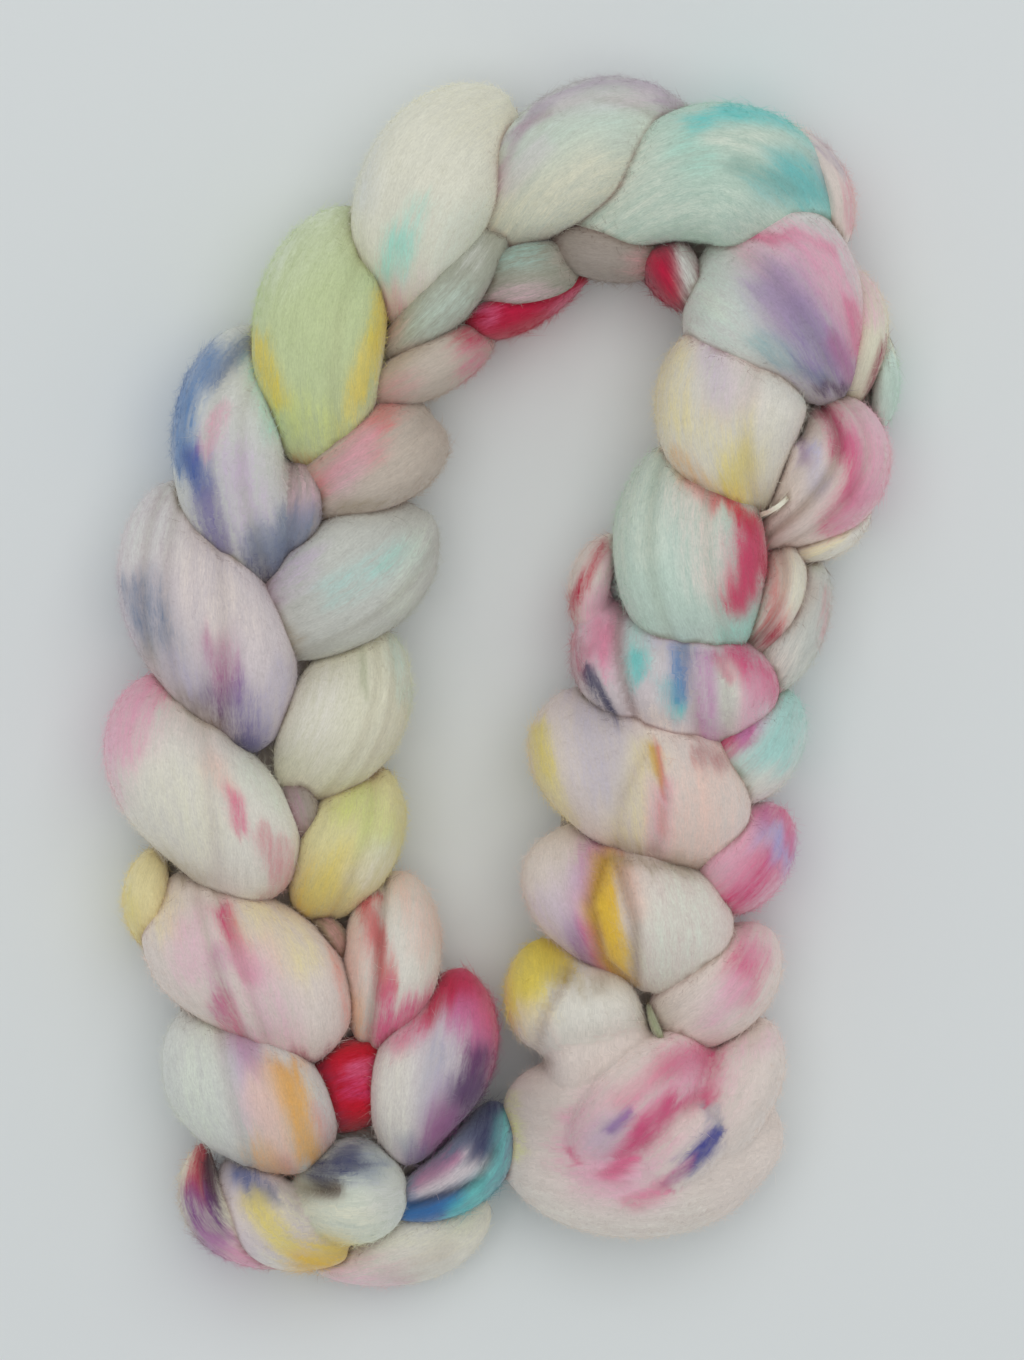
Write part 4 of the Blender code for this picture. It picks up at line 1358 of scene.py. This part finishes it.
def hair_roots(fold, tree, dice):
    """Roots scattered evenly over what shows of a fold: places, ways out and the nearest vertices."""
    mesh = fold["piece"].data
    areas = np.empty(len(mesh.polygons))
    mesh.polygons.foreach_get("area", areas)
    outward = read_vectors(mesh.polygons, "normal")
    near = np.array([face.vertices[0] for face in mesh.polygons])
    edge = np.clip(EDGE_START - EDGE_FALL * np.abs(outward[:, 2]), 0, 1)
    creased = np.clip(fold["gap_share"][near], 0, 1)
    density = HAIRS_ON_TOP + (HAIRS_AT_EDGE - HAIRS_ON_TOP) * edge
    density = density * (1 - creased) + HAIRS_IN_CREASE * creased
    wished = areas / MM ** 2 * density
    wanted = int(wished.sum())
    chosen = dice.choice(len(areas), size=wanted, p=wished / wished.sum())
    normals = outward[chosen]
    corners = np.array([mesh.polygons[int(face)].vertices[:3] for face in chosen])
    shares = dice.dirichlet((1, 1, 1), size=wanted)
    places = (fold["places"][corners] * shares[:, :, None]).sum(axis=1)
    kept = []
    for index in range(wanted):
        if places[index, 2] < ROOT_LOW or normals[index, 2] < ROOT_DOWN:
            continue
        if not leaves_skins(tree, Vector(places[index]), Vector(normals[index])):
            kept.append(index)
    return places[kept], normals[kept], corners[kept, 0]


def comb_hairs(fold, roots, outward, near, shape, dice):
    """The points of each hair: from its root along the lay, turned, lifted and curled."""
    count = len(roots)
    kinds = dice.choice(len(HAIR_KINDS), size=count, p=[kind.share for kind in HAIR_KINDS])
    kinds = np.where(fold["gap_share"][near] > CREASE_KIND_FROM, CREASE_KIND, kinds)
    _, reaches, lifts, wanders = np.array(HAIR_KINDS).T
    reach = reaches[kinds] * dice.uniform(LEAST_REACH, 1.0, count)
    lift = lifts[kinds] * dice.uniform(LEAST_LIFT, 1.0, count)
    wander = wanders[kinds]
    along = fold["fibre"][near] * dice.choice([-1.0, 1.0], size=count)[:, None]
    aside = np.cross(outward, along)
    turn = dice.normal(0, 1, count) * wander * HAIR_TURN
    way = along * np.cos(turn)[:, None] + aside * np.sin(turn)[:, None]
    aside = np.cross(outward, way)
    curl = dice.normal(0, 1, count) * wander * reach * HAIR_CURL
    up = shape[:, 2]
    path = roots[:, None, :] - outward[:, None, :] * HAIR_ROOTING
    path = path + way[:, None, :] * (reach[:, None] * up[None, :])[:, :, None]
    path = path + outward[:, None, :] * (lift[:, None] * up[None, :] ** LIFT_POWER)[:, :, None]
    path = path + aside[:, None, :] * (curl[:, None] * up[None, :] ** CURL_POWER)[:, :, None]
    path = path - aside[:, None, :] * (shape[:, 0] * HAIR_RADIUS)[None, :, None]
    path = path - outward[:, None, :] * (shape[:, 1] * HAIR_RADIUS)[None, :, None]
    path[:, :, 2] = np.maximum(path[:, :, 2], HAIR_RADIUS)
    return path.reshape(-1, 3)


def grow_hairs(name, folds, tree, template, material, dice):
    """One piece of fuzz over several folds, each hair coloured as its root is, painted a little paler,
    and with the crease's painted shade where it stands in one.
    """
    shape, faces = template
    size = len(shape)
    brown_shade = dye_tone(CREASE_SHADE_TINTS[0])
    paths, grounds, tones, amounts, lays = [], [], [], [], []
    for fold in folds:
        roots, outward, near = hair_roots(fold, tree, dice)
        if len(roots) == 0:
            continue
        paths.append(comb_hairs(fold, roots, outward, near, shape, dice))
        # Painted light on each hair, and painted shade on those in a crease.
        gain = HAIR_PAINTED_LIGHT * (1 - fold["gap_share"][near][:, None] * (1 - brown_shade) * CREASE_HAIR_SHADE)
        grounds.append(np.repeat(fold["ground"][near] * gain, size, axis=0))
        tones.append(np.repeat(fold["tone"][near] * gain, size, axis=0))
        amounts.append(np.repeat(fold["amount"][near], size))
        lays.append(np.repeat(fold["lanes"][near], size, axis=0))
    places = np.concatenate(paths)
    first = np.arange(0, len(places), size)
    polygons = (faces[:, None, :] + first[None, :, None]).reshape(-1, 3)
    mesh = bpy.data.meshes.new(name)
    mesh.from_pydata((places * MM).tolist(), [], polygons.tolist())
    store_colours(mesh, *(np.concatenate(values) for values in (grounds, tones, amounts, lays)))
    piece = bpy.data.objects.new(name, mesh)
    bpy.context.collection.objects.link(piece)
    finish_piece(piece, material)


# ---- The wool ----

def add_node(tree, kind, **settings):
    """A new node of that kind, with its settings."""
    node = tree.nodes.new(kind)
    for name, value in settings.items():
        setattr(node, name, value)
    return node


def grain(tree, lay, streak):
    """Noise drawn out along the fibres, of a streak's size."""
    mapping = add_node(tree, "ShaderNodeMapping")
    mapping.inputs["Scale"].default_value = (1 / streak.wide, 1 / streak.long, 1 / streak.long)
    tree.links.new(lay, mapping.inputs["Vector"])
    texture = add_node(tree, "ShaderNodeTexNoise", noise_dimensions="3D")
    texture.inputs["Scale"].default_value = 1.0
    texture.inputs["Detail"].default_value = streak.detail
    texture.inputs["Roughness"].default_value = streak.roughness
    tree.links.new(mapping.outputs["Vector"], texture.inputs["Vector"])
    return texture.outputs


def stretch(tree, value, span):
    """A value stretched from one span to another, and held there."""
    node = add_node(tree, "ShaderNodeMapRange", clamp=True)
    node.inputs["From Min"].default_value = span.low
    node.inputs["From Max"].default_value = span.high
    node.inputs["To Min"].default_value = span.new_low
    node.inputs["To Max"].default_value = span.new_high
    tree.links.new(value, node.inputs["Value"])
    return node.outputs["Result"]


def reckon(tree, operation, first, second):
    """A Math node on two values, each a socket or a number."""
    node = add_node(tree, "ShaderNodeMath", operation=operation)
    for index, value in enumerate((first, second)):
        if isinstance(value, (int, float)):
            node.inputs[index].default_value = value
        else:
            tree.links.new(value, node.inputs[index])
    return node.outputs["Value"]


def new_finish(name):
    """A material with the dull soft finish of wool and its down: it, its tree and its shader."""
    finish = bpy.data.materials.new(name)
    finish.use_nodes = True
    shader = finish.node_tree.nodes["Principled BSDF"]
    shader.inputs["Roughness"].default_value = WOOL_ROUGHNESS
    shader.inputs["Specular IOR Level"].default_value = WOOL_GLOSS
    shader.inputs["Sheen Weight"].default_value = WOOL_SHEEN
    shader.inputs["Sheen Roughness"].default_value = WOOL_SHEEN_ROUGHNESS
    return finish, finish.node_tree, shader


def dyed(tree, dye, amount):
    """The wool's ground under that amount of its dye."""
    ground = add_node(tree, "ShaderNodeAttribute", attribute_name="ground")
    colour = add_node(tree, "ShaderNodeMix", data_type="RGBA", blend_type="MIX")
    tree.links.new(amount, colour.inputs["Factor"])
    tree.links.new(ground.outputs["Color"], colour.inputs["A"])
    tree.links.new(dye.outputs["Color"], colour.inputs["B"])
    return colour.outputs["Result"]


def fuzz_material():
    """Single fibres of the same wool: their ground and dye alone."""
    fuzz, tree, shader = new_finish("loose_fibre")
    dye = add_node(tree, "ShaderNodeAttribute", attribute_name="dye")
    tree.links.new(dyed(tree, dye, dye.outputs["Alpha"]), shader.inputs["Base Color"])
    return fuzz


def wool_material():
    """Dyed combed wool: ground and dye in streaks along the lay, on a fine fibrous surface."""
    wool, tree, shader = new_finish("combed_wool")
    dye = add_node(tree, "ShaderNodeAttribute", attribute_name="dye")
    lay = add_node(tree, "ShaderNodeAttribute", attribute_name="lay").outputs["Vector"]

    # The fibres wander a little from side to side.
    swung = add_node(tree, "ShaderNodeVectorMath", operation="MULTIPLY_ADD")
    swung.inputs[1].default_value = (SWAY_REACH, 0.0, 0.0)
    tree.links.new(grain(tree, lay, SWAY)["Color"], swung.inputs[0])
    tree.links.new(lay, swung.inputs[2])
    fibres = swung.outputs["Vector"]
    fine = grain(tree, fibres, FINE)["Fac"]
    locks = grain(tree, fibres, LOCKS)["Fac"]
    down = grain(tree, fibres, DOWN)["Fac"]

    # Dye takes unevenly: more in one fibre than in the next, most so where it fades.
    amount = dye.outputs["Alpha"]
    fading = reckon(tree, "MULTIPLY", amount, reckon(tree, "SUBTRACT", 1.0, amount))
    uneven = reckon(tree, "ADD", stretch(tree, fine, FINE_TAKES), stretch(tree, locks, LOCKS_TAKE))
    taken = reckon(tree, "ADD", amount, reckon(tree, "MULTIPLY", fading, uneven))
    colour = dyed(tree, dye, stretch(tree, taken, WHOLE))

    # Light and dark fibres.
    shade = reckon(tree, "ADD", stretch(tree, fine, FINE_SHADE), stretch(tree, locks, LOCKS_SHADE))
    shade = reckon(tree, "ADD", shade, stretch(tree, down, DOWN_SHADE))
    shaded = add_node(tree, "ShaderNodeVectorMath", operation="SCALE")
    tree.links.new(colour, shaded.inputs["Vector"])
    tree.links.new(shade, shaded.inputs["Scale"])
    tree.links.new(shaded.outputs["Vector"], shader.inputs["Base Color"])

    height = reckon(tree, "ADD", reckon(tree, "MULTIPLY", fine, FINE_HEIGHT), locks)
    height = reckon(tree, "ADD", height, reckon(tree, "MULTIPLY", down, DOWN_HEIGHT))
    bump = add_node(tree, "ShaderNodeBump")
    bump.inputs["Strength"].default_value = BUMP_STRENGTH
    bump.inputs["Distance"].default_value = BUMP_DISTANCE
    tree.links.new(height, bump.inputs["Height"])
    tree.links.new(bump.outputs["Normal"], shader.inputs["Normal"])
    return wool


# ---- The studio ----

def lay_floor():
    """The pale surface that the braid lies on."""
    clear_selection()
    bpy.ops.mesh.primitive_plane_add(size=FLOOR_SIZE, location=(0, 0, 0))
    floor = bpy.context.active_object
    floor.name = "floor"
    paint = bpy.data.materials.new("pale_card")
    paint.use_nodes = True
    shader = paint.node_tree.nodes["Principled BSDF"]
    shader.inputs["Base Color"].default_value = (*FLOOR_TONE, 1.0)
    shader.inputs["Roughness"].default_value = FLOOR_ROUGHNESS
    shader.inputs["Specular IOR Level"].default_value = FLOOR_GLOSS
    floor.data.materials.append(paint)


def light_studio():
    """Light from all round, stronger low down, and a large soft light from above."""
    world = bpy.data.worlds.new("studio")
    world.use_nodes = True
    tree = world.node_tree
    sky = tree.nodes["Background"]
    sky.inputs["Color"].default_value = (*SKY_COLOUR, 1.0)
    direction = add_node(tree, "ShaderNodeTexCoord")
    parts = add_node(tree, "ShaderNodeSeparateXYZ")
    tree.links.new(direction.outputs["Generated"], parts.inputs["Vector"])
    strength = stretch(tree, parts.outputs["Z"], Span(0.0, 1.0, SKY_HORIZON, SKY_ZENITH))
    tree.links.new(strength, sky.inputs["Strength"])
    bpy.context.scene.world = world
    data = bpy.data.lights.new("soft_box", "AREA")
    data.shape = "SQUARE"
    data.size = SOFT_BOX_SIZE
    data.energy = SOFT_BOX_POWER
    data.color = SOFT_BOX_COLOUR
    light = bpy.data.objects.new("soft_box", data)
    light.location = SOFT_BOX_PLACE
    way = Vector(SOFT_BOX_AIM) - Vector(SOFT_BOX_PLACE)
    light.rotation_euler = way.to_track_quat("-Z", "Y").to_euler()
    bpy.context.collection.objects.link(light)
    bpy.context.scene.view_settings.view_transform = "Standard"


def set_camera():
    """The camera, straight above and far off."""
    data = bpy.data.cameras.new("camera")
    data.sensor_width = SENSOR
    data.lens = SENSOR * (CAMERA_HEIGHT - VIEW_HEIGHT) / VIEW_LENGTH
    data.clip_start = CLIP_NEAR
    data.clip_end = CLIP_FAR
    camera = bpy.data.objects.new("camera", data)
    camera.location = (VIEW_CENTRE[0] * MM, VIEW_CENTRE[1] * MM, CAMERA_HEIGHT * MM)
    bpy.context.collection.objects.link(camera)
    bpy.context.scene.camera = camera


set_camera()
light_studio()
lay_floor()
combed_wool = wool_material()
loose_fibre = fuzz_material()
lay_heart(combed_wool)
folds = lay_folds()
for fold in folds:
    dye_fold(fold, *crease_gap(fold, folds))
    finish_piece(fold["piece"], combed_wool)
skins = skin_tree(folds)
hair = hair_template()
order = [fold.name for fold in FOLDS]
for seed, (name, first, last) in enumerate(FUZZ, FUZZ_SEED):
    span = order[order.index(first):order.index(last) + 1]
    some = [fold for fold in folds if fold["names"][0] in span]
    grow_hairs(name, some, skins, hair, loose_fibre, np.random.default_rng(seed))
